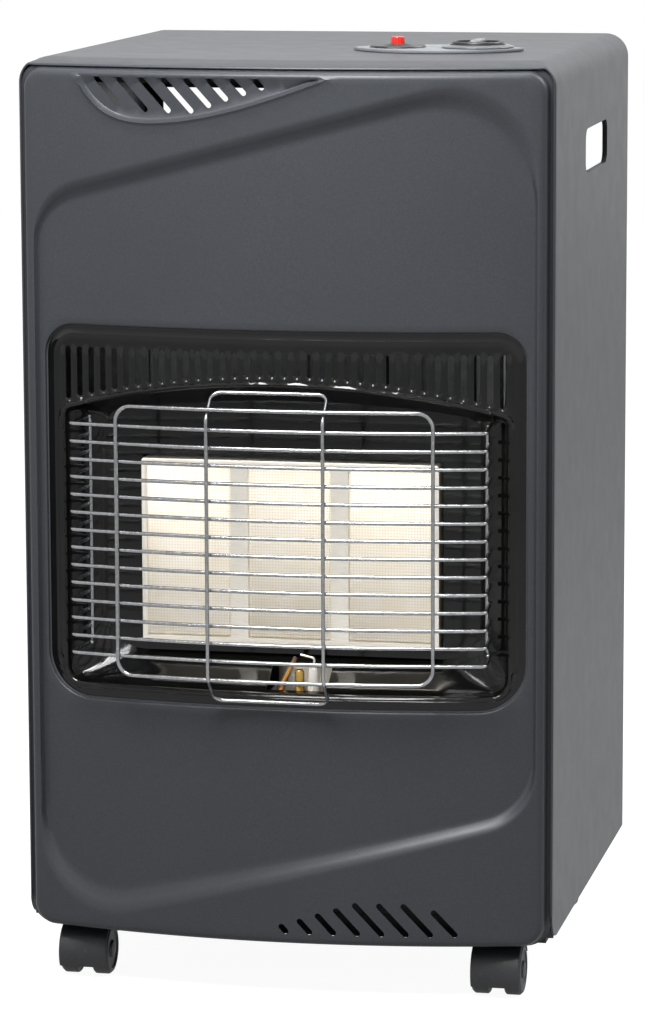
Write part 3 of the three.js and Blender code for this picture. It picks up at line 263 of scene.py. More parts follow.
chromed = rolled_metal("bright_chromed_wire", "#8b8c8e", "#a3a5a7", 0.2, 3.0, (1, 1, 1), 0.004)
stainless = rolled_metal("bright_stainless_sheet", "#ece6da", "#f8f3e8", 0.36, 0.8, (12, 1, 1), 0.004)
aluminised = rolled_metal("aluminised_steel", "#7f8182", "#9a9c9d", 0.42, 1.5, (6, 1, 6))
brass = rolled_metal("machined_brass", "#b08d46", "#cfae68", 0.3, 0.7, (1, 8, 1))
tube = rolled_metal("drawn_aluminium_tube", "#a9adb0", "#c6cacc", 0.34, 0.8, (1, 1, 14))
zinc = rolled_metal("zinc_plated_steel", "#a8adb3", "#c5cad0", 0.3, 1.2, (1, 1, 1))
galvanised_sheet = galvanised()
copper = hot_copper()
print("metals:", chromed.name, stainless.name, galvanised_sheet.name)

# %% [markdown]
# ## Burner ceramic
# Each plaque is a cordierite tile with thousands of 1.3 mm holes in a 2.3 mm grid, through which the gas
# burns on its face. From the room the holes blur into fine rows. They are drawn as dots that are darker, as
# painted shade, and deeper than the tile, with a faint yellow cast that differs from patch to patch.

# %% Burner ceramic
HOLE_PITCH = 2.3


def burner_ceramic():
    """Pale clay whose holes follow the sum of two cosines, one along x and one along z, with painted shade in
    the holes.
    """
    material, tree, shader, place = finish("perforated_burner_ceramic", Roughness=0.85, IOR=1.5)
    cell = add(tree, "ShaderNodeVectorMath", {"operation": "SCALE"}, {0: place, "Scale": 1000 / HOLE_PITCH})
    waves = []
    axes = add(tree, "ShaderNodeSeparateXYZ", (), {"Vector": cell.outputs[0]})
    for axis in ("X", "Z"):
        turn = add(tree, "ShaderNodeMath", {"operation": "MULTIPLY"}, {0: axes.outputs[axis], 1: 2 * math.pi})
        waves.append(add(tree, "ShaderNodeMath", {"operation": "COSINE"}, {0: turn.outputs[0]}).outputs[0])
    both = add(tree, "ShaderNodeMath", {"operation": "ADD"}, {0: waves[0], 1: waves[1]}).outputs[0]
    hole = spread(tree, both, 0.2, 1.3, 1, 0)  # 0 in a hole, 1 between holes
    patches = noise(tree, place, 22, 3)
    clay = blend_colours(tree, patches, (0.3, "#fbf0dc"), (0.5, "#fdf5e6"), (0.7, "#fff9f0"))
    # painted shade: each hole is coloured a darker yellow than the clay, standing in for the shade inside it
    hole_shade_colour = add(tree, "ShaderNodeMix", {"data_type": "RGBA"}, {0: hole, 6: linear("#efe2c4"), 7: clay})
    tree.links.new(hole_shade_colour.outputs[2], shader.inputs["Base Color"])
    dots = bumpy(tree, shader, hole, 0.12)
    bumpy(tree, shader, noise(tree, place, 0.9), 0.05, dots)
    return material


ceramic = burner_ceramic()
print("ceramic:", ceramic.name)

# %% [markdown]
# ## Outlines and sheets
# Nearly every large piece is sheet metal: one surface with a thickness. Each is described by flat outlines
# with rounded corners, which are filled with triangles and then lifted to their real place by a function of
# the flat position. A Solidify modifier turns the surface into sheet steel, and edges sharper than 40
# degrees are marked, so that presses and folds shade smoothly while cut edges stay crisp.

# %% The heater's driving sizes, as in the solids
HALF, TOP, FRONT, BOW, SHEET = 210.0, 730.0, -209.0, 30.0, 1.5
SHELL_BOTTOM, SHELL_CORNER, SHELL_REAR = 47.0, 19.0, 229.5
GAP = 0.3


def bow_y(x):
    """The y of the bowed front at x."""
    return FRONT + BOW * (x / HALF) ** 2


def rounded(corners, run=4.0):
    """An anticlockwise outline of (x, y, radius, steps) corners; its straights get a point every `run`."""
    loop = []
    for i, (x, y, radius, steps) in enumerate(corners):
        here = np.array([x, y], float)
        if radius <= 0:
            loop.append(here)
            continue
        before = np.array(corners[i - 1][:2], float) - here
        after = np.array(corners[(i + 1) % len(corners)][:2], float) - here
        before /= np.linalg.norm(before)
        after /= np.linalg.norm(after)
        half = math.acos(float(np.clip(before @ after, -1, 1))) / 2
        middle = (before + after) / np.linalg.norm(before + after)
        centre = here + middle * radius / math.sin(half)
        spoke = here + before * radius / math.tan(half) - centre
        turn = math.copysign(math.pi - 2 * half, before[1] * after[0] - before[0] * after[1])
        for k in range(steps + 1):
            a = turn * k / steps
            c, s = math.cos(a), math.sin(a)
            loop.append(centre + [spoke[0] * c - spoke[1] * s, spoke[0] * s + spoke[1] * c])
    return closed_runs(np.array(loop), run)


def closed_runs(loop, run):
    """Adds points along a closed loop's straight runs, so that none is longer than `run`."""
    dense = []
    for here, following in zip(loop, np.roll(loop, -1, axis=0)):
        pieces = max(1, math.ceil(np.linalg.norm(following - here) / run))
        dense += [here + (following - here) * k / pieces for k in range(pieces)]
    return np.array(dense)


def rect(x0, x1, y0, y1, low, high=None, run=4.0, steps=10):
    """A rectangle with rounded corners, `low` at the bottom and `high` at the top."""
    high = low if high is None else high
    return rounded([(x0, y0, low, steps), (x1, y0, low, steps),
                    (x1, y1, high, steps), (x0, y1, high, steps)], run)


def slot_loop(x, y, length, width, degrees, steps=6):
    """A slot with round ends that starts at (x, y) and runs off at that angle."""
    r = width / 2
    turn = np.array([math.cos(math.radians(degrees)), math.sin(math.radians(degrees))])
    across = np.array([-turn[1], turn[0]])
    loop = []
    for centre, start in ((length - r, -90), (r, 90)):
        for k in range(steps + 1):
            a = math.radians(start + 180 * k / steps)
            loop.append((x, y) + (centre + r * math.cos(a)) * turn + r * math.sin(a) * across)
    return closed_runs(np.array(loop), 5)


def depth_inside(points, loop):
    """How far each flat point lies inside a closed loop, and below zero how far outside it."""
    a, b = loop, np.roll(loop, -1, axis=0)
    inside = np.zeros(len(points), bool)
    nearest = np.full(len(points), 1e9)
    for p, q in zip(a, b):
        edge = q - p
        to = points - p
        t = np.clip(to @ edge / (edge @ edge), 0, 1)
        nearest = np.minimum(nearest, np.linalg.norm(to - np.outer(t, edge), axis=1))
        crossing = (p[1] > points[:, 1]) != (q[1] > points[:, 1])
        if crossing.any():
            at = p[0] + (points[:, 1] - p[1]) * edge[0] / (edge[1] if edge[1] else 1e-12)
            inside ^= crossing & (points[:, 0] < at)
    return np.where(inside, nearest, -nearest)


def as_rings(loops):
    """Each loop with its first point again at its end."""
    return [np.vstack([loop, loop[:1]]) for loop in loops]


def rolled(radius, distance):
    """How far an edge that is rolled to that radius has dropped, at a distance in from the edge."""
    left = radius - np.clip(distance, 0, radius)
    return radius - np.sqrt(np.maximum(radius ** 2 - left ** 2, 0))


def on_bow(flat, depth):
    """Puts flat (x, z) points on the bow, that far behind its face."""
    return np.column_stack([flat[:, 0], bow_y(flat[:, 0]) + depth, flat[:, 1]])


def upright(flat, y):
    """Stands flat (x, z) points up at that y."""
    return np.column_stack([flat[:, 0], np.full(len(flat), y), flat[:, 1]])


print("the front is at", round(bow_y(0)), "mm in its middle and", round(bow_y(HALF)), "at its ends")

# %% Fill an outline and turn it into sheet metal
def filled(outer, holes=(), lines=(), dots=(), grid=7.0):
    """Triangles inside `outer` and outside `holes`, with extra edges along `lines` and points at `dots`."""
    points, edges, faces = [], [], []
    for loop in (outer, *holes):
        start = len(points)
        points += [tuple(p) for p in loop]
        faces.append(list(range(start, len(points))))
    for line in lines:
        start = len(points)
        points += [tuple(p) for p in line]
        edges += [(k, k + 1) for k in range(start, len(points) - 1)]
    points += [tuple(p) for p in dots]
    low, high = np.min(outer, axis=0), np.max(outer, axis=0)
    taken = kdtree.KDTree(len(points))
    for i, p in enumerate(points):
        taken.insert((p[0], p[1], 0), i)
    taken.balance()
    columns = np.arange(low[0] + grid / 2, high[0], grid)
    rows = np.arange(low[1] + grid / 2, high[1], grid)
    free = np.array([(x, y) for x in columns for y in rows])
    free = free[depth_inside(free, outer) > grid * 0.4]
    points += [tuple(p) for p in free if taken.find((p[0], p[1], 0))[2] > grid * 0.55]
    made = geometry.delaunay_2d_cdt([Vector(p) for p in points], edges, faces, 0, 1e-4, False)
    flat = np.array([tuple(v) for v in made[0]])
    triangles = np.array([tuple(face) for face in made[2]])
    middles = flat[triangles].mean(axis=1)
    kept = depth_inside(middles, outer) > 0
    for loop in holes:
        kept &= depth_inside(middles, loop) < 0
    return flat, triangles[kept].tolist()


class Skin:
    """A surface that is put together from filled outlines and strips, then welded into one mesh."""

    def __init__(self):
        self.points, self.faces = [], []

    def fill(self, place, *outlines, towards, **options):
        """Fills outlines and lifts them with place(flat points); faces look towards that direction."""
        flat, triangles = filled(*outlines, **options)
        lifted = place(flat)
        start = len(self.points)
        self.points += [tuple(p) for p in lifted]
        for a, b, c in triangles:
            normal = np.cross(lifted[b] - lifted[a], lifted[c] - lifted[a])
            ahead = float(normal @ np.array(towards)) >= 0
            corners = (a, b, c) if ahead else (a, c, b)
            self.faces.append(tuple(start + corner for corner in corners))

    def strip(self, rows, closed=True, flip=False):
        """Joins rows of as many points each with quads."""
        start, width = len(self.points), len(rows[0])
        for row in rows:
            self.points += [tuple(p) for p in row]
        for j in range(len(rows) - 1):
            for i in range(width if closed else width - 1):
                a = start + j * width + i
                b = start + j * width + (i + 1) % width
                quad = (a, b, b + width, a + width)
                self.faces.append(quad[::-1] if flip else quad)

    def mesh(self, name, weld=0.02):
        """The welded mesh, without faces that fell together."""
        made = bmesh.new()
        verts = [made.verts.new([c * MM for c in p]) for p in self.points]
        for face in self.faces:
            corners = [verts[i] for i in face]
            try:
                made.faces.new(corners)
            except ValueError:
                pass
        bmesh.ops.remove_doubles(made, verts=made.verts, dist=weld * MM)
        bmesh.ops.dissolve_degenerate(made, edges=made.edges, dist=1e-6)
        mesh = bpy.data.meshes.new(name)
        made.to_mesh(mesh)
        made.free()
        return mesh


def new_object(name, mesh, *materials):
    """A mesh in the scene, with those materials."""
    obj = bpy.data.objects.new(name, mesh)
    scene.collection.objects.link(obj)
    mesh.materials.clear()
    for material in materials:
        mesh.materials.append(material)
    return obj


def apply_modifiers(obj):
    """Turns what the modifiers show into the object's own mesh and removes them."""
    shown = obj.evaluated_get(bpy.context.evaluated_depsgraph_get())
    mesh = bpy.data.meshes.new_from_object(shown)
    mesh.name = obj.name
    obj.modifiers.clear()
    if obj.type == "MESH":
        obj.data = mesh
        return obj
    made = new_object(obj.name + "_mesh", mesh, *list(mesh.materials))
    bpy.data.objects.remove(obj)
    return made


def crisp(obj, degrees=40):
    """Smooth shading that stops at edges sharper than that."""
    work = bmesh.new()
    work.from_mesh(obj.data)
    for face in work.faces:
        face.smooth = True
    for edge in work.edges:
        edge.smooth = len(edge.link_faces) == 2 and edge.calc_face_angle(0) < math.radians(degrees)
    work.to_mesh(obj.data)
    work.free()
    return obj


def sheet_metal(name, skin, thickness, material, degrees=40):
    """Gives a skin the thickness of its sheet, behind the side that its faces look to."""
    obj = new_object(name, skin.mesh(name), material)
    solid = obj.modifiers.new("thickness", "SOLIDIFY")
    solid.thickness = thickness * MM
    solid.offset = -1
    apply_modifiers(obj)
    return crisp(obj, degrees)


def settle(obj, *nodes, body=None, slot=None):
    """The piece stands for its CAD nodes and rides on their body; `slot` is not used."""
    if nodes:
        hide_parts(*nodes)
    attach(obj, body or body_of[nodes[0]])
    print(obj.name, len(obj.data.polygons), "faces on", body or body_of[nodes[0]])
    return obj


print("sheet helpers ready")

# %% [markdown]
# ## The front panel
# On the real heater this is one deep-drawn pressing. Its whole front is bowed; a broad field slants across
# it and is pushed back 7 mm with soft shoulders; a window is cut for the burner and its edge is rolled in;
# a lens-shaped vent sits at the top left and eight slanted slots at the bottom. It could be sculpted, but
# a pressing is really a height map: at each flat position, the depth is the sum of a few smooth steps
# measured from outlines. So the flat outlines are filled once and every point is pushed back by rule.

# %% Outlines of the front panel
PANEL_HALF, PANEL_LOW, PANEL_TOP = HALF - 5.7, 45.0, TOP - 7.5
PANEL_SHEET, PANEL_ROLL, PANEL_DEPTH = 1.2, 5.0, 20.0
WINDOW = {"half": PANEL_HALF - 14.3, "low": 230.0, "top": 524.5, "top_corner": 24.0, "low_corner": 36.0}
FIELD_DEPTH, LENS_DEPTH, WINDOW_ROLL, RETURN_DEPTH = 7.0, 3.0, 2.0, 10.5
LENS_BEAD = 1.3  # how far the bright bead round the lens stands proud
FLANGE, FLANGE_DEPTH = (3.4, 2.3), 11.0  # the pressing's edge steps out to meet the casing, at that depth


def panel_outline(inset=0.0):
    """The panel's edge, or a line that far inside it."""
    return rect(-PANEL_HALF + inset, PANEL_HALF - inset, PANEL_LOW + inset, PANEL_TOP - inset,
                17 - inset, 15 - inset, 5)


def window_outline(grow=0.0, run=4.0):
    """The window's edge, or a line that far outside it."""
    return rect(-WINDOW["half"] - grow, WINDOW["half"] + grow, WINDOW["low"] - grow, WINDOW["top"] + grow,
                WINDOW["low_corner"] + grow, WINDOW["top_corner"] + grow, run)


def field_outline(floor):
    """The slanting field: where it leaves the front, and where it reaches its floor."""
    slope = 0.232 if floor else 0.264
    if floor:
        left, low_left, right = -PANEL_HALF + 12.3, -PANEL_HALF + 10.3, PANEL_HALF - 9.8
        low, high = PANEL_LOW + 67.2, PANEL_TOP - 60
        corners = ((low_left, low, slope, 60), (right, low, slope, 45),
                   (right, high, 0.264, 75), (left, high, 0.264, 34))
    else:
        left, right, low, high = -PANEL_HALF + 6.3, PANEL_HALF - 5.3, PANEL_LOW + 46.5, PANEL_TOP - 40.5
        corners = ((left, low, slope, 60), (right, low, slope, 50),
                   (right, high, slope, 65), (left, high, slope, 50))
    return rounded([(x, z + tilt * x, radius, 16) for x, z, tilt, radius in corners], 1e6)


def matched(loop, count):
    """The same loop with `count` evenly spaced points, from its first one on."""
    ring = np.vstack([loop, loop[:1]])
    along = np.concatenate([[0], np.cumsum(np.linalg.norm(np.diff(ring, axis=0), axis=1))])
    want = np.linspace(0, along[-1], count, endpoint=False)
    return np.column_stack([np.interp(want, along, ring[:, i]) for i in (0, 1)])


def bezier(points, count):
    """A curve from the first point to the last, pulled towards the two between them."""
    a, b, c, d = (np.array(p, float) for p in points)
    t = np.linspace(0, 1, count)[:, None]
    return a * (1 - t) ** 3 + 3 * b * t * (1 - t) ** 2 + 3 * c * t * t * (1 - t) + d * t ** 3


def below_top(*points):
    """Flat points, from how far across they are and how far below the panel's top."""
    return [(x, PANEL_TOP - down) for x, down in points]


lens_line = np.vstack([
    bezier(below_top((-160, 3.5), (-150, 24.5), (-135, 39.9), (-102, 39.9)), 22),
    bezier(below_top((-102, 39.9), (-50, 39.9), (5, 18.5), (46, 3.5)), 36)[1:],
])
vents = [slot_loop(-143.2 + 18.2 * i, PANEL_TOP - 5.5, length, 4.4, -47)
         for i, length in enumerate((29, 35, 35.5, 35.5, 29.5, 22.5, 16.5, 10.5))]
low_vents = [slot_loop(7.4 + 18.8 * i, PANEL_LOW + 8.6, length, 4.8, 132.5)
             for i, length in enumerate((9.5, 16, 22.5, 29, 35, 35, 35, 28.5))]
print("panel:", len(vents), "upper and", len(low_vents), "lower slots")

# %% The panel's depth at every point
FIELD_EDGE, FIELD_FLOOR = field_outline(False), field_outline(True)


def soft_step(t):
    """From 0 to 1 along half a wave, so that the wall leaves and meets its floors without a crease."""
    return 0.5 - 0.5 * np.cos(math.pi * np.clip((t - 0.08) / 0.8, 0, 1))


def panel_depth(flat):
    """How far behind the bow the panel's outer face lies."""
    from_edge = depth_inside(flat, FIELD_EDGE)
    to_floor = -depth_inside(flat, FIELD_FLOOR)
    share = np.where(to_floor <= 0, 1.0, from_edge / np.maximum(from_edge + to_floor, 1e-6))
    depth = FIELD_DEPTH * soft_step(np.where(from_edge <= 0, 0.0, share))
    in_lens = depth_inside(flat, lens_line)
    depth += LENS_DEPTH * np.clip((in_lens - 0.6) / 3.2, 0, 1) ** 0.8
    bead = LENS_BEAD * np.exp(-((in_lens - 0.2) / 1.3) ** 2)
    depth -= np.where(flat[:, 1] < PANEL_TOP - 4.5, bead, 0)
    edge = rolled(PANEL_ROLL, depth_inside(flat, panel_outline()))
    pressed, proud = np.maximum(depth, 0), np.maximum(-depth, 0)
    depth = (pressed ** 2.5 + edge ** 2.5) ** (1 / 2.5) - proud
    return depth + rolled(WINDOW_ROLL, -depth_inside(flat, window_outline()))

print("field floor at", round(float(panel_depth(np.array([[0.0, 590.0]]))[0]), 2), "mm")

# %% Press the front panel
panel = Skin()
RING_POINTS = 300
edge_ring, floor_ring = matched(FIELD_EDGE, RING_POINTS), matched(FIELD_FLOOR, RING_POINTS)
field_rings = as_rings(edge_ring + (floor_ring - edge_ring) * s for s in (0, 0.08, 0.2, 0.45, 0.7, 0.85, 1))
roll_rings = as_rings(panel_outline(d) for d in (0.25, 0.8, 1.7, 3.0, 5.0))
window_rings = as_rings(window_outline(d) for d in (0.25, 0.8, 2.0))
lens_normal = np.column_stack([-np.gradient(lens_line[:, 1]), np.gradient(lens_line[:, 0])])
lens_normal /= np.linalg.norm(lens_normal, axis=1)[:, None]
lens_rings = [(lens_line + lens_normal * d)[3:-3] for d in (-2.8, -1.2, 0.2, 1.5, 2.6, 3.8)]
panel.fill(lambda flat: on_bow(flat, panel_depth(flat)), panel_outline(),
           [window_outline(), *vents, *low_vents],
           lines=[*field_rings, *roll_rings, *window_rings, *lens_rings], towards=(0, -1, 0))
rim = panel_outline()
flange = np.column_stack([
    rim[:, 0] * (1 + FLANGE[0] / PANEL_HALF),
    PANEL_LOW + (rim[:, 1] - PANEL_LOW) * (1 + FLANGE[1] / (PANEL_TOP - PANEL_LOW))])
panel.strip([on_bow(rim, panel_depth(rim)), on_bow(rim, FLANGE_DEPTH - 1.5),
             on_bow(rim + (flange - rim) * 0.3, FLANGE_DEPTH - 0.3),
             on_bow(flange, FLANGE_DEPTH), on_bow(flange, PANEL_DEPTH)])
hole = window_outline()
hole_depth = panel_depth(hole)
panel.strip([on_bow(hole, hole_depth), on_bow(hole, np.maximum(RETURN_DEPTH, hole_depth + 0.3))], flip=True)
settle(sheet_metal("front_panel_pressing", panel, PANEL_SHEET, cabinet_paint), "front_panel")

# %% [markdown]
# ## The cabinet
# The casing is one sheet folded into two sides and a top. To model a fold, it helps to unfold it: the
# sheet is flat again, its length runs up one side, round a 19 mm bend, over the top and down the other
# side, and its width runs from front to back. Slots are cut in that flat pattern, as the maker does, and
# a function folds it up. The front edge is rolled inwards, which gives the thin bright line round the front,
# and a seat lip behind it carries the panel.

# %% The unfolded casing
SIDE = TOP - SHELL_CORNER - SHELL_BOTTOM  # straight part of a side
BEND = SHELL_CORNER * math.pi / 2
ROOF = 2 * (HALF - SHELL_CORNER)
UNFOLDED = 2 * SIDE + 2 * BEND + ROOF
FOLDS = (SIDE, SIDE + BEND, SIDE + BEND + ROOF, UNFOLDED - SIDE)  # where each bend starts and ends
EDGE_ROLL = 1.4
TURN_IN, TURN_BACK = 0.6, 0.7  # how far the cut edge is turned in, and back
FRONT_EDGE = 7.5  # how far the casing's front edge lies behind the bow
LOW_CORNER = 22.0  # the rounded lower front corner of each side
LIP_DROP, LIP_RUN = 6.0, 35.0  # how far the top slopes down to its front edge, and over what length
OPENING_HALF = HALF - 17
OPENING_TOP = TOP - 49


def section(s):
    """Place and outward normal, in x and z, at a length s along the unfolded sheet."""
    s = np.asarray(s, float)
    mirrored = s > UNFOLDED / 2
    t = np.where(mirrored, UNFOLDED - s, s)
    angle = np.clip((t - SIDE) / SHELL_CORNER, 0, math.pi / 2)
    x = -HALF + SHELL_CORNER - SHELL_CORNER * np.cos(angle) + np.clip(t - SIDE - BEND, 0, None)
    z = SHELL_BOTTOM + np.clip(t, 0, SIDE) + SHELL_CORNER * np.sin(angle)
    nx, nz = -np.cos(angle), np.sin(angle)
    return np.where(mirrored, -x, x), z, np.where(mirrored, -nx, nx), nz


def folded(flat, inward=0.0):
    """Folds flat (length, y) points; `inward` is how far below the outer face they lie."""
    x, z, nx, nz = section(flat[:, 0])
    behind = flat[:, 1] - bow_y(x)
    drop = LIP_DROP * np.clip((LIP_RUN - behind) / (LIP_RUN + 8), 0, 1)
    inset = rolled(EDGE_ROLL, behind - FRONT_EDGE) + inward
    return np.column_stack([x - nx * inset, flat[:, 1], np.minimum(z, TOP - drop) - nz * inset])


def runs(*stretches):
    """Lengths along the sheet, in (from, to, count) stretches that each stop short of their end."""
    return np.concatenate([np.linspace(start, end, count)[:-1] for start, end, count in stretches])


def front_edge(inset=0.0):
    """The front edge in the unfolded sheet, or a line that far behind it."""
    lengths = np.concatenate([
        np.arange(0, LOW_CORNER, 2), np.arange(LOW_CORNER, SIDE, 8),
        runs((*FOLDS[:2], 14), (*FOLDS[1:3], 60), (*FOLDS[2:], 14), (FOLDS[3], UNFOLDED - LOW_CORNER, 80)),
        np.linspace(UNFOLDED - LOW_CORNER, UNFOLDED, 12)])
    from_foot = np.clip(np.minimum(lengths, UNFOLDED - lengths), 0, LOW_CORNER)
    cut_back = LOW_CORNER - np.sqrt(LOW_CORNER ** 2 - (LOW_CORNER - from_foot) ** 2)
    return np.column_stack([lengths, bow_y(section(lengths)[0]) + FRONT_EDGE + inset + cut_back])


def lens_plan(x, y, half, depth, steps=24):
    """Two arcs that meet in a point at each end."""
    radius = (half * half + depth * depth) / (2 * depth)
    reach = math.asin(half / radius)
    loop = []
    for side in (-1, 1):
        for k in range(steps):
            a = -reach + 2 * reach * k / steps
            loop.append((x - side * radius * math.sin(a), y + side * (radius * math.cos(a) - radius + depth)))
    return np.array(loop)


CONTROL_Y, BUTTON_X, KNOB_X, PLATE_X = -39.0, 63.5, 127.5, 96.0
HANDLE = {"y": 46.0, "z": TOP - 80, "length": 120.0, "height": 35.0, "corner": 10.0, "hem": 4.0}


def handle_loop(side):
    """The carrying slot in one side, in the unfolded sheet."""
    s = HANDLE["z"] - SHELL_BOTTOM if side < 0 else UNFOLDED - (HANDLE["z"] - SHELL_BOTTOM)
    high, long = HANDLE["height"] / 2, HANDLE["length"] / 2
    return rect(s - high, s + high, HANDLE["y"] - long, HANDLE["y"] + long, HANDLE["corner"], run=5)


controls_hole = lens_plan(PLATE_X, CONTROL_Y, 62, 37) + [UNFOLDED / 2, 0]
front_row = front_edge()
rear_lengths = np.append(runs((UNFOLDED, FOLDS[3], 60), (FOLDS[3], FOLDS[2], 14), (FOLDS[2], FOLDS[1], 50),
                              (FOLDS[1], FOLDS[0], 14), (SIDE, 0, 60)), 0)
rear_row = np.column_stack([rear_lengths, np.full(len(rear_lengths), SHELL_REAR)])
bends = [[(s, y) for y in np.arange(-162, SHELL_REAR, 8)]
         for start in (FOLDS[0], FOLDS[2]) for s in np.linspace(start, start + BEND, 9)]
print("the unfolded casing is", round(UNFOLDED), "mm long")

# %% Fold the casing
casing = Skin()
casing.fill(folded, np.vstack([front_row, rear_row]), [handle_loop(-1), handle_loop(1), controls_hole],
            lines=[*bends, *(front_edge(d)[1:-1] for d in (0.1, 0.4, 0.8, 1.4)),
                  *(front_edge(LIP_RUN - FRONT_EDGE + d)[1:-1] for d in (-5, 0, 5))],
            towards=(0, 0, 1), grid=11)
# the sides look outwards, not up
for index, face in enumerate(casing.faces):
    a, b, c = (np.array(casing.points[i]) for i in face)
    middle = (a + b + c) / 3
    outward = np.array([middle[0] * 3, 0, middle[2] - 400])
    if np.cross(b - a, c - a) @ outward < 0:
        casing.faces[index] = face[::-1]
# the front edge is turned in all the way round, down to the rounded lower corners
turned = front_row[(front_row[:, 0] > LOW_CORNER) & (front_row[:, 0] < UNFOLDED - LOW_CORNER)]
edge = folded(turned)
x, z, nx, nz = section(turned[:, 0])
turned_in = np.column_stack([edge[:, 0] - nx * TURN_IN, edge[:, 1] + TURN_BACK, edge[:, 2] - nz * TURN_IN])
casing.strip([turned_in, edge], closed=False)
rear_outline = np.vstack([
    [(-HALF, SHELL_BOTTOM), (-OPENING_HALF, SHELL_BOTTOM), (-OPENING_HALF, OPENING_TOP),
     (OPENING_HALF, OPENING_TOP), (OPENING_HALF, SHELL_BOTTOM), (HALF, SHELL_BOTTOM)],
    np.column_stack(section(rear_lengths)[:2])[1:-1]])
casing.fill(lambda flat: upright(flat, SHELL_REAR), rear_outline, towards=(0, 1, 0), grid=30)
for side in (-1, 1):
    mouth = handle_loop(side)
    casing.strip([folded(mouth, d) for d in (0, HANDLE["hem"])], flip=side < 0)
casing_sheet = sheet_metal("folded_casing", casing, SHEET, cabinet_paint, 35)
print("casing:", len(casing_sheet.data.polygons), "faces")

# %% The seat that the front panel is screwed to
SEAT_DEPTH = PANEL_DEPTH + GAP


def seat_frame(outer, inner):
    """An arch of strip, open at the bottom. Each edge is (in from the sides, down from the top, corner)."""
    (out_side, out_top, out_corner), (in_side, in_top, in_corner) = outer, inner
    return rounded([
        (-HALF + out_side, SHELL_BOTTOM, 0, 1), (-HALF + in_side, SHELL_BOTTOM, 0, 1),
        (-HALF + in_side, TOP - in_top, in_corner, 8), (HALF - in_side, TOP - in_top, in_corner, 8),
        (HALF - in_side, SHELL_BOTTOM, 0, 1), (HALF - out_side, SHELL_BOTTOM, 0, 1),
        (HALF - out_side, TOP - out_top, out_corner, 10),
        (-HALF + out_side, TOP - out_top, out_corner, 10)], 6)


seat = Skin()
seat.fill(lambda flat: on_bow(flat, SEAT_DEPTH), seat_frame((0.75, 2.6, 15), (14, 18, 8)),
          towards=(0, -1, 0), grid=8)
lip = sheet_metal("seat_lip", seat, SHEET, cabinet_paint)
print("seat:", len(lip.data.polygons), "faces")


def joined(name, *objects):
    """Several objects made one, with each of their materials once."""
    work = bmesh.new()
    materials = []
    for obj in objects:
        own = list(obj.data.materials)
        materials += [material for material in dict.fromkeys(own) if material not in materials]
        known = len(work.faces)
        work.from_mesh(obj.data)
        work.faces.ensure_lookup_table()
        for face in work.faces[known:]:
            face.material_index = materials.index(own[face.material_index])
    mesh = bpy.data.meshes.new(name)
    work.to_mesh(mesh)
    work.free()
    for obj in objects:
        bpy.data.objects.remove(obj)
    return new_object(name, mesh, *materials)


settle(joined("cabinet_casing", casing_sheet, lip), "cabinet_shell")

# %% [markdown]
# ## The reflector
# Behind the window sits an enamelled pressing: a flat rim with an arched row of 36 louvre slots, and a
# dish that narrows to the burner. The dish is a loft. Its mouth outline and its floor outline have the
# same number of points, so each ring between them is a mix of the two, moved back a little more each time.
# The bars between the slots are pressed out slightly, and so is a bead that runs just inside the window.

# %% The reflector's outlines
RING_DEPTH, DISH_DEPTH, ENAMELLED = 11.0, 60.0, 1.2
LOUVRES = {"count": 36, "pitch": 9.8, "width": 4.6, "top": WINDOW["top"] - 17, "centre": WINDOW["top"] - 35,
           "drop": 23.5, "reach": 171.5}
BURNER = {"half": 118.4, "low": 273.0, "high": 418.0}
# the dish's sizes at its mouth and at its floor
DISH = {"half": (176, 150), "low": (241, 263), "high": (482, 465), "drop": (24, 11), "corner": (14, 30)}
MOUTH_ROLL, ROLL_ANGLES = 3.5, (22, 45, 67)


def dish_outline(s, grow=0.0):
    """The dish at a share s of its depth."""
    size = {key: mouth + (floor - mouth) * s * s for key, (mouth, floor) in DISH.items()}
    half, low, high = size["half"] + grow, size["low"] - grow, size["high"] + grow
    drop, corner = size["drop"], size["corner"]
    arch = [(-half * k / 14, high - drop * (k / 14) ** 2, 0, 1) for k in range(-13, 14)]
    return rounded([(-half, low, corner, 8), (half, low, corner, 8), (half, high - drop, corner / 2, 6),
                    *arch, (-half, high - drop, corner / 2, 6)], 1e6)


def even_runs(loops, run):
    """Splits the same runs of several matched loops, so that they still match."""
    first = loops[0]
    spans = np.linalg.norm(np.roll(first, -1, axis=0) - first, axis=1)
    counts = [max(1, math.ceil(span / run)) for span in spans]
    return [np.array([p + (q - p) * k / n for p, q, n in zip(loop, np.roll(loop, -1, axis=0), counts)
                      for k in range(n)]) for loop in loops]


def louvre_foot(x):
    """The height of a louvre's foot: the feet follow an arch."""
    return LOUVRES["centre"] - LOUVRES["drop"] * (x / LOUVRES["reach"]) ** 2


louvre_x = [(i - (LOUVRES["count"] - 1) / 2) * LOUVRES["pitch"] for i in range(LOUVRES["count"])]
louvres = [slot_loop(x, louvre_foot(x), LOUVRES["top"] - louvre_foot(x), LOUVRES["width"], 90, 5)
           for x in louvre_x]
steps = [k / 18 for k in range(19)]
rolls = [math.radians(a) for a in ROLL_ANGLES]
plate_ring, *dish_rings = even_runs(
    [dish_outline(0, MOUTH_ROLL), *(dish_outline(0, MOUTH_ROLL * (1 - math.sin(a))) for a in rolls),
     *(dish_outline(s) for s in steps)], 6)
print("reflector:", len(louvres), "louvres,", len(plate_ring), "points round the dish")


BAR_PROUD, BEAD_PROUD, NIB_PROUD = 0.9, 1.3, 1.5  # how far each is pressed out of the rim
BEAD_INSET, BEAD_WIDTH = 6.5, 1.9  # where the bead runs inside the window's edge
NIB_DROP, NIB_WIDTH = 2.4, 1.7  # a small nib lies that far below each louvre's foot


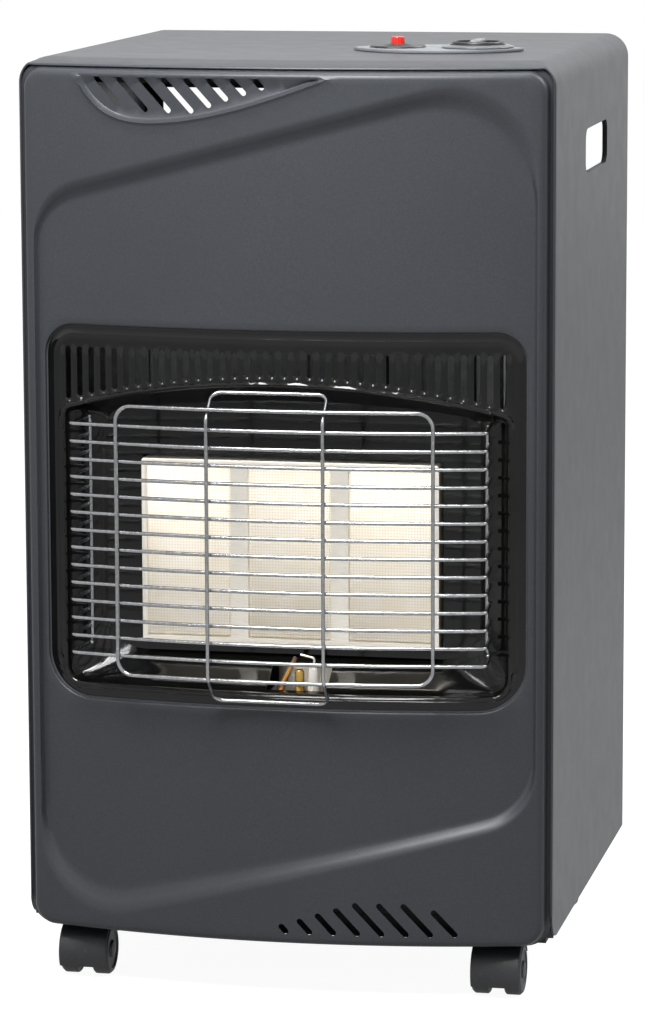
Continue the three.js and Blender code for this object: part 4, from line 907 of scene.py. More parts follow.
def ring_depth(flat):
    """The rim of the reflector: bars between the louvres, a bead along the window, and nibs."""
    x, z = flat[:, 0], flat[:, 1]
    wave = np.abs(np.sin(math.pi * (x / LOUVRES["pitch"])))  # 0 at a bar's middle: slots are at half pitches
    bar = np.clip(1 - wave * 1.15, 0, 1)
    rows = np.clip((z - louvre_foot(x) + 1) / 4, 0, 1) * np.clip((LOUVRES["top"] + 1 - z) / 4, 0, 1)
    inside = (np.abs(x) < louvre_x[-1] + LOUVRES["pitch"]) * 1.0
    bead = np.exp(-((depth_inside(flat, window_outline(0, 8)) - BEAD_INSET) / BEAD_WIDTH) ** 2)
    nibs = np.zeros(len(flat))
    for foot_x in louvre_x:
        nibs += np.exp(-((x - foot_x) ** 2 + (z - louvre_foot(foot_x) + NIB_DROP) ** 2) / NIB_WIDTH ** 2)
    return RING_DEPTH - BAR_PROUD * bar * rows * inside - BEAD_PROUD * bead - NIB_PROUD * nibs


# %% Press the reflector
reflector = Skin()
bar_lines = []
for middle in (x - LOUVRES["pitch"] / 2 for x in (*louvre_x, louvre_x[-1] + LOUVRES["pitch"])):
    for x in (middle - 1.1, middle, middle + 1.1):
        if abs(x) < 180:
            bar_lines.append([(x, z) for z in np.linspace(louvre_foot(x) + 1, LOUVRES["top"] - 1, 7)])
rim_lines = as_rings(window_outline(-d) for d in (0.1, 2.5, 4.5, 6.5, 8.5, 11))
nib_dots = []
for x in louvre_x:
    for r, count in ((0, 1), (0.7, 6), (1.4, 9), (2.1, 12)):
        for a in np.linspace(0.3, 0.3 + 2 * math.pi, count + 1)[1:]:
            nib_dots.append((x + r * math.cos(a), louvre_foot(x) - NIB_DROP + r * math.sin(a)))
reflector.fill(lambda flat: on_bow(flat, ring_depth(flat)), window_outline(5), [plate_ring, *louvres],
               lines=[*bar_lines, *rim_lines], dots=nib_dots, towards=(0, -1, 0), grid=6)


def in_dish(loop, depth):
    """Puts a ring at that depth: it follows the bow at the mouth and is flat at the floor."""
    follow = float(np.clip((DISH_DEPTH - depth) / (DISH_DEPTH - RING_DEPTH), 0, 1))
    return np.column_stack([loop[:, 0], FRONT + depth + follow * BOW * (loop[:, 0] / HALF) ** 2, loop[:, 1]])


def dish_depth(s):
    """The depth of the ring at a share s: the dish's wall is a little fuller than a cone."""
    start = RING_DEPTH + MOUTH_ROLL
    return start + (DISH_DEPTH - start) * (s - 0.12 * math.sin(math.pi * s) * s)


depths = [RING_DEPTH + MOUTH_ROLL * (1 - math.cos(a)) for a in rolls] + [dish_depth(s) for s in steps]
mouth = on_bow(plate_ring, ring_depth(plate_ring))
wall = [mouth] + [in_dish(ring, depth) for ring, depth in zip(dish_rings, depths)]
reflector.strip(wall, flip=True)
burner_hole = rect(-BURNER["half"] - 1.2, BURNER["half"] + 1.2,
                   BURNER["low"] - 1.5, BURNER["high"] + 1.5, 0.5, steps=1)
reflector.fill(lambda flat: upright(flat, FRONT + DISH_DEPTH), dish_rings[-1], [burner_hole],
               towards=(0, -1, 0), grid=9)
dish = sheet_metal("enamelled_reflector", reflector, ENAMELLED, enamel, 42)


def punch(obj, *cutters):
    """Cuts closed shapes out of a piece."""
    for cutter in cutters:
        gap = obj.modifiers.new("punch", "BOOLEAN")
        gap.operation, gap.object, gap.solver = "DIFFERENCE", cutter, "EXACT"
        apply_modifiers(obj)
        bpy.data.objects.remove(cutter)
    return obj


def solid_prism(name, loop, low, high, axis="Y"):
    """A closed prism over a flat loop, along Y (loop in x, z) or Z (loop in x, y)."""
    def lift(level):
        return np.array([(a, level, b) if axis == "Y" else (a, b, level) for a, b in loop])

    made = Skin()
    made.strip([lift(low), lift(high)])
    mesh = made.mesh(name)
    work = bmesh.new()
    work.from_mesh(mesh)
    bmesh.ops.holes_fill(work, edges=work.edges, sides=0)
    bmesh.ops.recalc_face_normals(work, faces=work.faces)
    work.to_mesh(mesh)
    work.free()
    return new_object(name, mesh)


pilot_gap = solid_prism("pilot_gap", rect(-14, 34, -188, -158, 2, steps=4), 230, 262, "Z")
punch(dish, pilot_gap)
settle(crisp(dish, 42), "burner_surround")

# %% [markdown]
# ## The wire guard
# Fourteen 3 mm wires are bent over the window, and two uprights and two loops are spot-welded behind and in
# front of them. Wires follow paths, so Geometry Nodes make them: the paths are curves, one tree turns every
# path into round wire, and a ball of melted metal is placed at every crossing. The sizes are inputs of the
# tree, so the guard can be rebuilt in a thicker wire without touching the paths.

# %% The guard's paths
WIRE = 1.5
GUARD = {"count": 14, "pitch": 13.85, "low": 271.0, "half": 163.5, "out": 17.0, "leg_back": -163.0}
GUARD_TOP = GUARD["low"] + (GUARD["count"] - 1) * GUARD["pitch"]
POST_X, POST_Y, LEG_X, FOOT = 157.4, -167.0, 159.4, (168.0, -153.0)
LOOP, NARROW = 124.0, (-50.0, 41.0)


def bent(corners, steps=8, closed=False):
    """A path of points with an arc at each (x, y, z, radius)."""
    points = []
    for i, (x, y, z, radius) in enumerate(corners):
        here = Vector((x, y, z))
        if not radius or (not closed and i in (0, len(corners) - 1)):
            points.append(here)
            continue
        before = (Vector(corners[i - 1][:3]) - here).normalized()
        after = (Vector(corners[(i + 1) % len(corners)][:3]) - here).normalized()
        half = before.angle(after) / 2
        centre = here + (before + after).normalized() * radius / math.sin(half)
        spoke = here + before * radius / math.tan(half) - centre
        axis = after.cross(before).normalized()
        points += [Matrix.Rotation((math.pi - 2 * half) * k / steps, 3, axis) @ spoke + centre
                   for k in range(steps + 1)]
    return points


def wires_front(x):
    """The y of the guard's long wires at x."""
    return bow_y(x) - GUARD["out"]


WELD = 2 * WIRE - 0.6  # from one wire's middle to the middle of the wire it is welded to
WIDE_LOW, WIDE_HIGH = 256.5, 467.0
CLIMB_LOW, CLIMB_HIGH = 258.0, 460.0  # where the narrow loop leaves the window's plane
wire_paths, welds = [], []
for i in range(GUARD["count"]):
    z = GUARD["low"] + i * GUARD["pitch"]
    bowed = [(x, wires_front(x), z, 0) for x in np.linspace(-150, 150, 25)]
    ends = [[(side * LEG_X, GUARD["leg_back"], z, 0),
             (side * GUARD["half"], wires_front(GUARD["half"]), z, 6)] for side in (-1, 1)]
    wire_paths.append((bent(ends[0] + bowed + ends[1][::-1]), False))
    welds += [(x, wires_front(x) - WELD / 2, z) for x in (-LOOP, LOOP)]
    welds += [(side * (POST_X + 0.8), POST_Y + 0.5, z) for side in (-1, 1)]
    if CLIMB_LOW < z < CLIMB_HIGH:
        welds += [(x, wires_front(x) - WELD / 2, z) for x in NARROW]
for side in (-1, 1):
    feet = [(side * FOOT[0], FOOT[1], GUARD_TOP + 1, 0), (side * POST_X, POST_Y, GUARD_TOP + 1, 5),
            (side * POST_X, POST_Y, GUARD["low"] + 1, 5), (side * FOOT[0], FOOT[1], GUARD["low"] + 1, 0)]
    wire_paths.append((bent(feet), False))
row = list(np.linspace(-LOOP, LOOP, 15))
wide = [(x, wires_front(x) - WELD, z, 12 if abs(x) == LOOP else 0)
        for z, across in ((WIDE_LOW, row), (WIDE_HIGH, row[::-1])) for x in across]
wire_paths.append((bent(wide, 8, True), True))
narrow = []
for x, way in ((NARROW[1], 1), (NARROW[0], -1)):
    climb = [(x, bow_y(x) - 1, 237, 8), (x, wires_front(x) - 2 * WELD, CLIMB_LOW, 9),
             (x, wires_front(x) - 2 * WELD, CLIMB_HIGH, 9), (x, bow_y(x) - 1, 478, 8)]
    narrow += climb[::way]
wire_paths.append((bent(narrow, 8, True), True))
print("guard:", len(wire_paths), "wires,", len(welds), "welds")

# %% A tree that turns paths into welded wire
def new_tree(name, *sockets):
    """A Geometry Nodes tree with a geometry input and output, and inputs given as (name, kind, value)."""
    tree = bpy.data.node_groups.new(name, "GeometryNodeTree")
    tree.interface.new_socket("Geometry", in_out="INPUT", socket_type="NodeSocketGeometry")
    for label, kind, value in sockets:
        tree.interface.new_socket(label, in_out="INPUT", socket_type=kind).default_value = value
    tree.interface.new_socket("Geometry", in_out="OUTPUT", socket_type="NodeSocketGeometry")
    return tree, add(tree, "NodeGroupInput")


def end_tree(tree, shape, material):
    """Ends a tree: its shape is smooth, real rather than instanced, and made of that material."""
    smooth = add(tree, "GeometryNodeSetShadeSmooth", (), {0: shape.outputs[0]})
    real = add(tree, "GeometryNodeRealizeInstances", (), {0: smooth.outputs[0]})
    painted = add(tree, "GeometryNodeSetMaterial", (), {"Geometry": real.outputs[0], "Material": material})
    add(tree, "NodeGroupOutput", (), {0: painted.outputs[0]})
    return tree


def run_tree(obj, tree, **values):
    """Runs a tree on an object with its inputs set by identifier, and keeps the resulting plain mesh."""
    modifier = obj.modifiers.new(tree.name, "NODES")
    modifier.node_group = tree
    for item in tree.interface.items_tree:
        if item.item_type == "SOCKET" and item.in_out == "INPUT" and item.name in values:
            modifier[item.identifier] = values[item.name]
    return apply_modifiers(obj)


def wire_tree(material):
    """Turns every path into round wire with closed ends."""
    tree, given = new_tree("round_wire", ("Radius", "NodeSocketFloat", 0.0015),
                           ("Sides", "NodeSocketInt", 14))
    ring = add(tree, "GeometryNodeCurvePrimitiveCircle", (), {
        "Resolution": given.outputs["Sides"], "Radius": given.outputs["Radius"]})
    tube_of = add(tree, "GeometryNodeCurveToMesh", (), {
        "Curve": given.outputs["Geometry"], "Profile Curve": ring.outputs[0], "Fill Caps": True})
    return end_tree(tree, tube_of, material)


def ball_tree(material):
    """Puts a slightly flattened ball on every point."""
    tree, given = new_tree("weld_beads", ("Radius", "NodeSocketFloat", 0.0016))
    ball = add(tree, "GeometryNodeMeshIcoSphere", (), {"Radius": given.outputs["Radius"], "Subdivisions": 3})
    spots = add(tree, "GeometryNodeMeshToPoints", (), {"Mesh": given.outputs["Geometry"]})
    placed = add(tree, "GeometryNodeInstanceOnPoints", (), {
        "Points": spots.outputs[0], "Instance": ball.outputs[0], "Scale": (1.0, 0.8, 1.0)})
    return end_tree(tree, placed, material)


def path_curve(name, paths):
    """A curve object with one straight-segment spline for each (points in mm, closed)."""
    curve = bpy.data.curves.new(name, "CURVE")
    curve.dimensions = "3D"
    for points, closed in paths:
        spline = curve.splines.new("POLY")
        spline.points.add(len(points) - 1)
        for target, p in zip(spline.points, points):
            target.co = (p[0] * MM, p[1] * MM, p[2] * MM, 1)
        spline.use_cyclic_u = closed
    obj = bpy.data.objects.new(name, curve)
    scene.collection.objects.link(obj)
    return obj


def tubes_along(name, paths, radius, material, sides=14):
    """Wire or tube of that radius along each path."""
    made = run_tree(path_curve(name, paths), wire_tree(material), Radius=radius * MM, Sides=sides)
    made.name = name
    return made


wires = tubes_along("guard_wires", wire_paths, WIRE, chromed)
beads_mesh = bpy.data.meshes.new("guard_welds")
beads_mesh.from_pydata([tuple(c * MM for c in p) for p in welds], [], [])
beads = run_tree(new_object("guard_welds", beads_mesh), ball_tree(chromed), Radius=1.75 * MM)
settle(joined("wire_guard", wires, beads), "guard")

# %% [markdown]
# ## Pieces that keep their solid shape
# The burner frame, the plaques, the valve and the rest have the right shape already. What they lack is the
# small radius that every moulded, cast or folded edge has, which is what catches the light. A copy of the
# solid is cleaned, its sharp edges are bevelled, and the copy takes the solid's place.

# %% Soften a solid's edges
def bevel(obj, width, segments):
    """Rounds every edge that is sharper than 30 degrees."""
    edge = obj.modifiers.new("edge", "BEVEL")
    edge.width, edge.segments = width * MM, segments
    edge.limit_method, edge.angle_limit = "ANGLE", math.radians(30)
    apply_modifiers(obj)
def softened(node, width, material):
    """A copy of a solid, cleaned, with its sharp edges bevelled to that width."""
    source = next(o for o in bpy.data.objects if o.name == node)
    work = bmesh.new()
    work.from_mesh(source.data)
    work.transform(source.matrix_world)
    bmesh.ops.remove_doubles(work, verts=work.verts, dist=1e-6)
    bmesh.ops.dissolve_limit(work, angle_limit=math.radians(0.5), verts=work.verts, edges=work.edges)
    bmesh.ops.recalc_face_normals(work, faces=work.faces)
    mesh = bpy.data.meshes.new(node + "_finished")
    work.to_mesh(mesh)
    work.free()
    obj = new_object(node + "_finished", mesh, material)
    if width:
        bevel(obj, width, 2)
    return settle(crisp(obj, 32), node)


def moulded(name, dark, light, roughness, grain_mm=0.5, depth=0.01, scuffs=None):
    """Moulded plastic: its tone, its gloss, the mould's fine texture, and pale scuffs where it is worn."""
    material, tree, shader, place = finish(name, IOR=1.49)
    tone = blend_colours(tree, noise(tree, place, 30, 2), (0.3, dark), (0.7, light))
    if scuffs:
        marks = spread(tree, noise(tree, place, 3.5, 5, 0.75), 0.58, 0.72, 0, 0.6)
        mixed = add(tree, "ShaderNodeMix", {"data_type": "RGBA"}, {0: marks, 6: tone, 7: linear(scuffs)})
        tone = mixed.outputs[2]
    dress(tree, shader, tone, drift(tree, place, 9, roughness - 0.05, roughness + 0.07))
    bumpy(tree, shader, noise(tree, place, grain_mm, 2), depth)
    return material


grey_plastic = moulded("grey_moulded_plastic", "#63666a", "#6e7175", 0.42)
black_plastic = moulded("satin_black_plastic", "#151617", "#1c1d1f", 0.38)
wheel_plastic = moulded("worn_black_nylon", "#1a1b1d", "#232427", 0.48, 0.8, 0.02, "#4a4b4d")
red_plastic = moulded("glossy_red_plastic", "#b81e14", "#c8281c", 0.22, 0.4, 0.004)
silver_plastic = moulded("silver_painted_plastic", "#636567", "#727476", 0.5)
ring_finish = moulded("dark_chromed_plastic", "#4a4c4f", "#595b5e", 0.22)
sleeve = moulded("silicone_lead_sleeve", "#222222", "#2c2c2c", 0.6)
porcelain = moulded("glazed_porcelain", "#ece8df", "#f6f3ec", 0.18, 0.6, 0.006)

soft_list = [
    ("burner_frame", 0.35, stainless), ("plaque_left", 0.25, ceramic), ("plaque_centre", 0.25, ceramic),
    ("plaque_right", 0.25, ceramic), ("burner_housing", 0.4, aluminised), ("injector_rail", 0.4, brass),
    ("heat_shield", 0.0, aluminised), ("pilot_bracket", 0.2, stainless), ("pilot_burner", 0.25, brass),
    ("electrode_ceramic", 0.25, porcelain), ("control_plate", 0.35, grey_plastic),
    ("piezo_body", 0.2, black_plastic),
    ("gas_valve", 0.6, brass), ("valve_bracket", 0.2, galvanised_sheet), ("valve_spindle", 0.3, brass),
    ("hose_nozzle", 0.2, brass), ("rear_cover", 0.3, cabinet_paint), ("base_pan", 0.4, base_paint),
]
for node, width, material in soft_list:
    softened(node, width, material)

# %% [markdown]
# ## Turned pieces
# Wheels, knob, ring, collar and button are all turned round an axis. A lathe needs only half a section, drawn
# as a closed outline, and turns it in 72 steps, where the solids use sixteen or twenty.

# %% A lathe
def lathe(name, profile, material, at=(0, 0, 0), axis="Z", turns=72, mirror=False):
    """Turns a closed outline of (radius, height) points round an axis through `at`."""
    skin = Skin()
    rows = []
    for k in range(turns + 1):
        a = 2 * math.pi * (k % turns) / turns
        row = []
        for r, h in profile:
            h = -h if mirror else h
            u, v = r * math.cos(a), r * math.sin(a)
            row.append(np.add((u, v, h) if axis == "Z" else (h, u, v), at))
        rows.append(row)
    skin.strip(rows)
    return smooth_solid(name, skin, material)


def smooth_solid(name, skin, material):
    """A closed skin with its faces turned outwards, smooth but for its sharp edges."""
    mesh = skin.mesh(name)
    work = bmesh.new()
    work.from_mesh(mesh)
    bmesh.ops.dissolve_degenerate(work, edges=work.edges, dist=1e-7)
    bmesh.ops.recalc_face_normals(work, faces=work.faces)
    work.to_mesh(mesh)
    work.free()
    return crisp(new_object(name, mesh, material), 32)


def profile_of(*corners, steps=4):
    """A closed (radius, height) outline with rounded corners (radius, height, rounding)."""
    return rounded([(r, h, rounding, steps) for r, h, rounding in corners], 1e6)


print("lathe ready")

# %% [markdown]
# ## Castors
# A furniture castor is a moulded hood over two wheels on one axle. The hood is a barrel, turned round the
# axle but only over the upper front part, so it is made as a strip of rounded section swept through that
# angle. The wheels have a worn tread, a sunk face and a hub cap.

# %% The castor's parts
CASTOR_X, CASTOR_Y = 166.0, 143.0
CASTORS = {front + side: (x, y) for front, y in (("f", -CASTOR_Y), ("r", CASTOR_Y))
           for side, x in (("l", -CASTOR_X), ("r", CASTOR_X))}
TRAIL, WHEEL, HOOD, HOOD_HALF, WEB = 14.0, 20.0, 23.0, 19.5, 5.5
HOOD_FROM, HOOD_TO = 28, 207  # degrees round the axle, from the back over the top to the front

wheel_profile = profile_of(
    (3, 6, 0.3), (16, 6, 0.4), (17, 7, 0.4), (18.6, 6.2, 0.5), (WHEEL, 7.4, 1.2), (WHEEL, 17.4, 1.6),
    (18, 19.6, 0.8), (15.6, 19.9, 0.5), (14.6, 18.6, 0.5), (7.4, 18.4, 0.6), (6.4, 20.3, 0.8),
    (0.02, 20.9, 0), (0.02, 18, 0), (3, 18, 0.2))
roof = rounded([(-HOOD_HALF, 21.3, 0.4, 2), (HOOD_HALF, 21.3, 0.4, 2), (HOOD_HALF, HOOD, 1.5, 6),
                (-HOOD_HALF, HOOD, 1.5, 6)], 3)
rib = rounded([(-WEB, 3, 0, 1), (WEB, 3, 0, 1), (WEB, 22, 0, 1), (-WEB, 22, 0, 1)], 6)
boss_profile = profile_of((4.4, 15, 0), (8, 15, 0.5), (8, 43.6, 0.6), (4.4, 43.6, 0.3))
axle_profile = profile_of((0.02, -18, 0), (2.5, -18, 0.4), (2.5, 18, 0.4), (0.02, 18, 0))


def barrel(name, loop, start, end, centre, material, steps=40):
    """Sweeps a closed (x, radius) outline round the axle from one angle to another, and caps its ends."""
    skin = Skin()
    rows = []
    for k in range(steps + 1):
        a = math.radians(start + (end - start) * k / steps)
        rows.append([np.add((x, r * math.cos(a), r * math.sin(a)), centre) for x, r in loop])
    skin.strip(rows)
    count = len(loop)
    skin.faces.append(tuple(range(count)))
    skin.faces.append(tuple(range(len(skin.points) - count, len(skin.points)))[::-1])
    return smooth_solid(name, skin, material)


for place, (cx, cy) in CASTORS.items():
    axle = (cx, cy - TRAIL, WHEEL)
    hood = joined("castor_hood_moulding_" + place,
                  barrel("hood_roof_" + place, roof, HOOD_FROM, HOOD_TO, axle, wheel_plastic),
                  barrel("hood_web_" + place, rib, HOOD_FROM, HOOD_TO, axle, wheel_plastic),
                  lathe("hood_boss_" + place, boss_profile, wheel_plastic, (cx, cy, 0)))
    settle(hood, "castor_hood_" + place)
    for side, mirror in (("left", True), ("right", False)):
        wheel = lathe(f"castor_tread_{place}_{side}", wheel_profile, wheel_plastic, axle, "X", mirror=mirror)
        settle(wheel, f"castor_wheel_{place}_{side}")
    softened("castor_plate_" + place, 0.3, zinc)
    settle(lathe("castor_pin_" + place, axle_profile, zinc, axle, "X"), "castor_axle_" + place)
print("castors done")

# %% [markdown]
# ## Controls
# On the lens-shaped plate sit a red push button in a round collar, and a knob with two scooped sides and a
# silver grip between them. The button's ribs are one small rod, set round a circle by Geometry Nodes.

# %% Knob, ring, collar and button
PLATE_TOP = TOP + 2.7
KNOB_TOP = PLATE_TOP + 5.1
ABOVE = TOP + 15  # clear of everything, for what is cut from above
knob_at, button_at = (KNOB_X, CONTROL_Y, TOP), (BUTTON_X, CONTROL_Y, TOP)
knob_height = KNOB_TOP - TOP
knob = lathe("knob_moulding", profile_of(
    (0.02, 0.5, 0), (5, 0.5, 0.2), (5, 2, 0.2), (20, 2, 0.4), (20.5, 3.4, 0.4), (20.2, knob_height, 1.2),
    (0.02, knob_height, 0)), black_plastic, knob_at)


def bar_outline(half_width, half_length, corner):
    """The grip's outline, seen from above."""
    return rect(KNOB_X - half_width, KNOB_X + half_width, CONTROL_Y - half_length, CONTROL_Y + half_length,
                corner, steps=6)


def scoop_outline(side):
    """The hollow on one side of the grip, seen from above."""
    inner, outer = KNOB_X + side * 5.4, KNOB_X + side * 16.6
    return rounded([(inner, CONTROL_Y - 15 * side, 3, 6), (outer, CONTROL_Y - 9 * side, 6, 8),
                    (outer, CONTROL_Y + 9 * side, 6, 8), (inner, CONTROL_Y + 15 * side, 3, 6)], 4)


scoops = [solid_prism("scoop", scoop_outline(side), TOP + 4.2, ABOVE, "Z") for side in (-1, 1)]
punch(knob, *scoops, solid_prism("grip_seat", bar_outline(4.3, 17.8, 2.6), TOP + 4.7, ABOVE, "Z"))
settle(crisp(knob), "knob")
grip = solid_prism("grip_bar", bar_outline(4, 17.5, 2.4), TOP + 5, KNOB_TOP + 1.4, "Z")
grip.data.materials.append(silver_plastic)
bevel(grip, 1.1, 4)
settle(crisp(grip), "knob_grip")
trim = profile_of((22.4, GAP, 0.1), (28.5, GAP, 0.2), (28.3, 1.3, 0.4), (23.8, 2.7, 0.5), (22.4, 2.7, 0.2))
settle(lathe("knob_trim_ring", trim, ring_finish, (KNOB_X, CONTROL_Y, PLATE_TOP)), "knob_ring")
collar = profile_of((6.6, GAP, 0.1), (22.5, GAP, 0.2), (21.4, 1.6, 0.4), (12, 1.2, 2), (8.4, 2.6, 0.4),
                    (6.6, 2.6, 0.3))
settle(lathe("igniter_collar", collar, black_plastic, (BUTTON_X, CONTROL_Y, PLATE_TOP)), "piezo_collar")
cap = lathe("button_cap", profile_of((0.02, -28, 0), (4.5, -28, 0.3), (4.5, 1, 0.2), (4.9, 1.4, 0.2),
                                     (4.9, 11, 0.9), (0.02, 11, 0)), red_plastic, button_at)


def rib_tree(material):
    """Rods set upright round a circle."""
    tree, given = new_tree("ribs_round_a_cap", ("Count", "NodeSocketInt", 14),
                           ("Radius", "NodeSocketFloat", 0.0048), ("Rib", "NodeSocketFloat", 0.0005),
                           ("Height", "NodeSocketFloat", 0.007))
    ring = add(tree, "GeometryNodeMeshCircle", (), {
        "Vertices": given.outputs["Count"], "Radius": given.outputs["Radius"]})
    rod = add(tree, "GeometryNodeMeshCylinder", (), {
        "Vertices": 10, "Radius": given.outputs["Rib"], "Depth": given.outputs["Height"]})
    placed = add(tree, "GeometryNodeInstanceOnPoints", (), {
        "Points": ring.outputs[0], "Instance": rod.outputs[0]})
    return end_tree(tree, placed, material)


empty = new_object("button_ribs", bpy.data.meshes.new("button_ribs"))
ribs = run_tree(empty, rib_tree(red_plastic), Count=14)
for vertex in ribs.data.vertices:
    vertex.co += Vector((BUTTON_X, CONTROL_Y, TOP + 7)) * MM
settle(joined("igniter_button", cap, crisp(ribs)), "piezo_button")

# %% [markdown]
# ## Pipes and leads
# Each pipe is a path with bends, swept by the same tree that made the guard. Copper would be usual on older
# heaters; this kind uses soft aluminium tube for gas, and a silicone sleeve over the ignition lead.

# %% Pipes and leads
GAS_PIPES = {"right": (143, TOP - 30, -90, 152, 190, 76), "centre": (130, TOP - 38, -99, 160, 181, 0),
             "left": (117, TOP - 30, -108, 168, 172, -76)}
PILOT_Y, WIRING_Y = -174.0, -80.5
for name, (out, z, y, down, low, to) in GAS_PIPES.items():
    path = bent([(out, -61.3, z, 0), (out, y, z, 7), (down, y, z, 7), (down, y, low, 9),
                 (to, y, low, 4.5 if to > 0 else 8), (to, -118, low, 4.5), (to, -118, 207.7, 0)])
    settle(tubes_along(f"gas_tube_{name}", [(path, False)], 3, tube, 20), "gas_pipe_" + name)
tip_x, tip_z = -9.5, 232.0


def dropped(x, turn_z, low, to, radius):
    """The part of a lead that runs down behind the shield and forward to the pilot."""
    return [(x, WIRING_Y, turn_z, radius), (x, WIRING_Y, low, radius), (to, WIRING_Y, low, radius),
            (to, PILOT_Y, low, radius)]


leads = [
    ("pilot_tube", "pilot_pipe", 2.0, tube, [
        (104.9, -30, TOP - 40, 0), (88, -30, TOP - 40, 8), (88, -30, TOP - 90, 8),
        *dropped(88, TOP - 90, 130, 10.5, 8), (10.5, PILOT_Y, 228.7, 0)]),
    ("thermocouple_tube", "thermocouple_lead", 1.5, copper, [
        (83.7, -44, TOP - 36, 0), (76, -44, TOP - 36, 6), (76, -44, TOP - 80, 6),
        *dropped(76, TOP - 80, 140, tip_x - 8, 6), (tip_x - 8, PILOT_Y, 215, 6),
        (tip_x - 0.3, PILOT_Y, tip_z - 1.8, 0)]),
    ("ignition_wire", "ignition_lead", 1.8, sleeve, [
        (BUTTON_X, CONTROL_Y, TOP - 52.3, 0), (BUTTON_X, CONTROL_Y, TOP - 72, 7),
        *dropped(BUTTON_X, TOP - 72, 160, 21.5, 7), (21.5, PILOT_Y, 225.7, 0)]),
    ("electrode_pin", "electrode_wire", 0.9, stainless, [
        (21.5, PILOT_Y, 258.3, 0), (22.8, PILOT_Y, 266, 2.5), (11.5, PILOT_Y, 268.5, 0)]),
]
for name, node, radius, material, corners in leads:
    settle(tubes_along(name, [(bent(corners), False)], radius, material, 18), node)
softened("thermocouple", 0.15, copper)

# %% Screws in the rear flanges
def screw_tree(material):
    """Pan-head screws: a low dome with a cross recess, one at each given point, facing back."""
    tree, given = new_tree("rear_screws", ("Radius", "NodeSocketFloat", 0.003),
                           ("Height", "NodeSocketFloat", 0.0013))
    head = add(tree, "GeometryNodeMeshUVSphere", (), {
        "Segments": 24, "Rings": 12, "Radius": given.outputs["Radius"]})
    flat = add(tree, "ShaderNodeMath", {"operation": "DIVIDE"}, {
        0: given.outputs["Height"], 1: given.outputs["Radius"]})
    scale = add(tree, "ShaderNodeCombineXYZ", (), {"X": 1.0, "Y": flat.outputs[0], "Z": 1.0})
    dome = add(tree, "GeometryNodeTransform", (), {"Geometry": head.outputs[0], "Scale": scale.outputs[0]})
    cross = add(tree, "GeometryNodeMeshCube", (), {"Size": (0.0034, 0.0016, 0.0007)})
    low = add(tree, "GeometryNodeTransform", (), {
        "Geometry": cross.outputs[0], "Translation": (0, 0.0012, 0)})
    other = add(tree, "GeometryNodeTransform", (), {
        "Geometry": low.outputs[0], "Rotation": (0, math.pi / 2, 0)})
    driven = add(tree, "GeometryNodeMeshBoolean", {"operation": "DIFFERENCE"}, {0: dome.outputs[0]})
    for bar in (low, other):
        tree.links.new(bar.outputs[0], driven.inputs[1])
    spots = add(tree, "GeometryNodeMeshToPoints", (), {"Mesh": given.outputs["Geometry"]})
    placed = add(tree, "GeometryNodeInstanceOnPoints", (), {
        "Points": spots.outputs[0], "Instance": driven.outputs[0]})
    return end_tree(tree, placed, material)


screw_places = [(x * MM, SHELL_REAR * MM, z * MM) for x in (-205, 205) for z in (95, 240, 420, 600, 690)]
screw_spots = bpy.data.meshes.new("rear_screws")
screw_spots.from_pydata(screw_places, [], [])
screws = run_tree(new_object("rear_screws", screw_spots), screw_tree(zinc))
settle(crisp(screws, 50), body="cabinet", slot="galvanised_steel")

# %% [markdown]
# ## Floor, lights and the end
# A plain pale floor carries the heater's shadow. Four soft lamps light it: a broad one behind it to the
# right, one above, one in front and a weak one from the left. The world is white where the camera or a
# reflection looks at it, and gentle as a light. Reflections see the floor dimmer than the camera does,
# so that the cabinet darkens towards its foot.

# %% Floor and lights
FLOOR_GLOW = 0.94  # lifts the lit floor to white for the camera, and keeps the shadow
GLOSSY_SHARE = 0.55  # how much of that glow a reflection sees
WORLD_LIGHT = 0.08  # how strongly the world lights what isn't looked at


def looked_at(tree, glossy):
    """1 where the camera looks, through glass too, and `glossy` where a reflection does."""
    ray = add(tree, "ShaderNodeLightPath").outputs
    direct = add(tree, "ShaderNodeMath", {"operation": "MAXIMUM"}, {
        0: ray["Is Camera Ray"], 1: ray["Is Transmission Ray"]})
    return add(tree, "ShaderNodeMath", {"operation": "MULTIPLY_ADD", "use_clamp": True}, {
        0: ray["Is Glossy Ray"], 1: glossy, 2: direct.outputs[0]}).outputs[0]


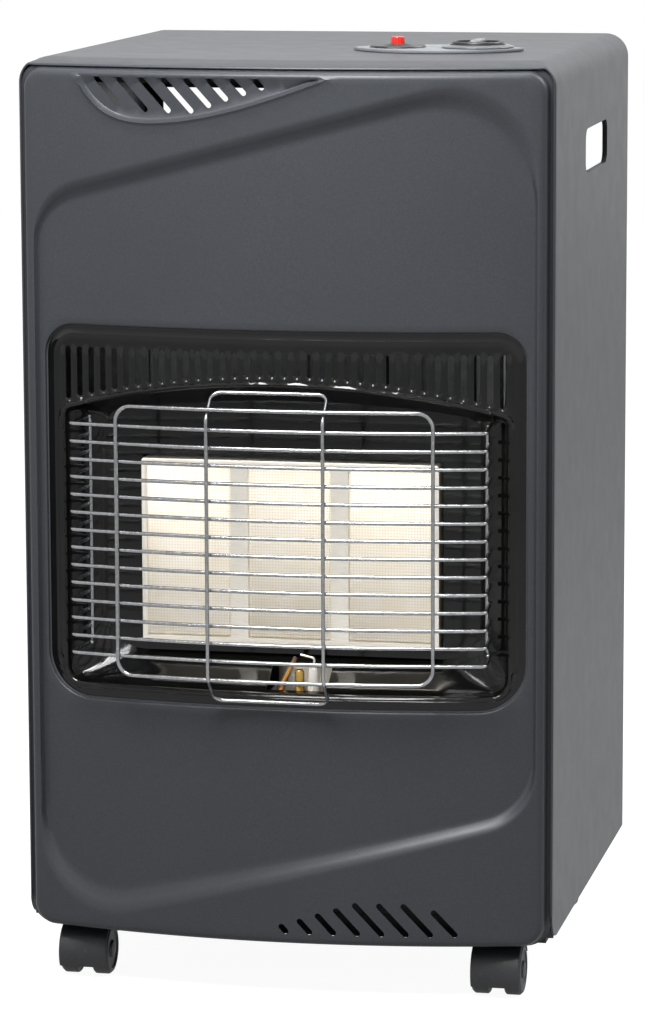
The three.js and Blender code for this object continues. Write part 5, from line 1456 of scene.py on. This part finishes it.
floor_mesh = bpy.data.meshes.new("floor")
floor_mesh.from_pydata([(-6, -6, 0), (6, -6, 0), (6, 6, 0), (-6, 6, 0)], [], [(0, 1, 2, 3)])
floor_finish, floor_tree, floor_shader, floor_place = finish("pale_floor", Roughness=0.8)
floor_clouds = noise(floor_tree, floor_place, 400, 2)
floor_tone = blend_colours(floor_tree, floor_clouds, (0.3, "#777777"), (0.7, "#7f7f7f"))
floor_tree.links.new(floor_tone, floor_shader.inputs["Base Color"])
floor_white = add(floor_tree, "ShaderNodeMath", {"operation": "MULTIPLY"}, {
    0: looked_at(floor_tree, GLOSSY_SHARE), 1: FLOOR_GLOW})
floor_shader.inputs["Emission Color"].default_value = (1, 1, 1, 1)
floor_tree.links.new(floor_white.outputs[0], floor_shader.inputs["Emission Strength"])
new_object("floor", floor_mesh, floor_finish)


def lamp(name, at, aim, size, watts):
    """A square soft lamp, placed and aimed in metres."""
    light = bpy.data.lights.new(name, "AREA")
    light.size = size
    light.energy = watts
    obj = bpy.data.objects.new(name, light)
    scene.collection.objects.link(obj)
    obj.location = at
    obj.rotation_euler = (Vector(aim) - Vector(at)).to_track_quat("-Z", "Y").to_euler()


lamp("key_right", (1.9, 1.2, 2.3), (0.0, 0.0, 0.5), 1.3, 62)
lamp("above", (0.1, 0.3, 2.6), (0.0, 0.0, 0.6), 1.2, 25)
lamp("front", (-0.1, -1.0, 1.66), (0.0, -0.2, 0.4), 0.6, 48)
lamp("left", (-2.2, -1.4, 1.4), (0.0, 0.0, 0.4), 1.2, 2)
world = bpy.data.worlds.new("studio")
scene.world = world
world.use_nodes = True
sky = world.node_tree
sky.nodes.clear()
strength = add(sky, "ShaderNodeMapRange", (), {
    "Value": looked_at(sky, 1.0), "To Min": WORLD_LIGHT, "To Max": 1.0})
backdrop = add(sky, "ShaderNodeBackground", (), {"Color": (1, 1, 1, 1), "Strength": strength.outputs[0]})
add(sky, "ShaderNodeOutputWorld", (), {"Surface": backdrop.outputs[0]})
scene.view_settings.view_transform = "Standard"
print("lit")
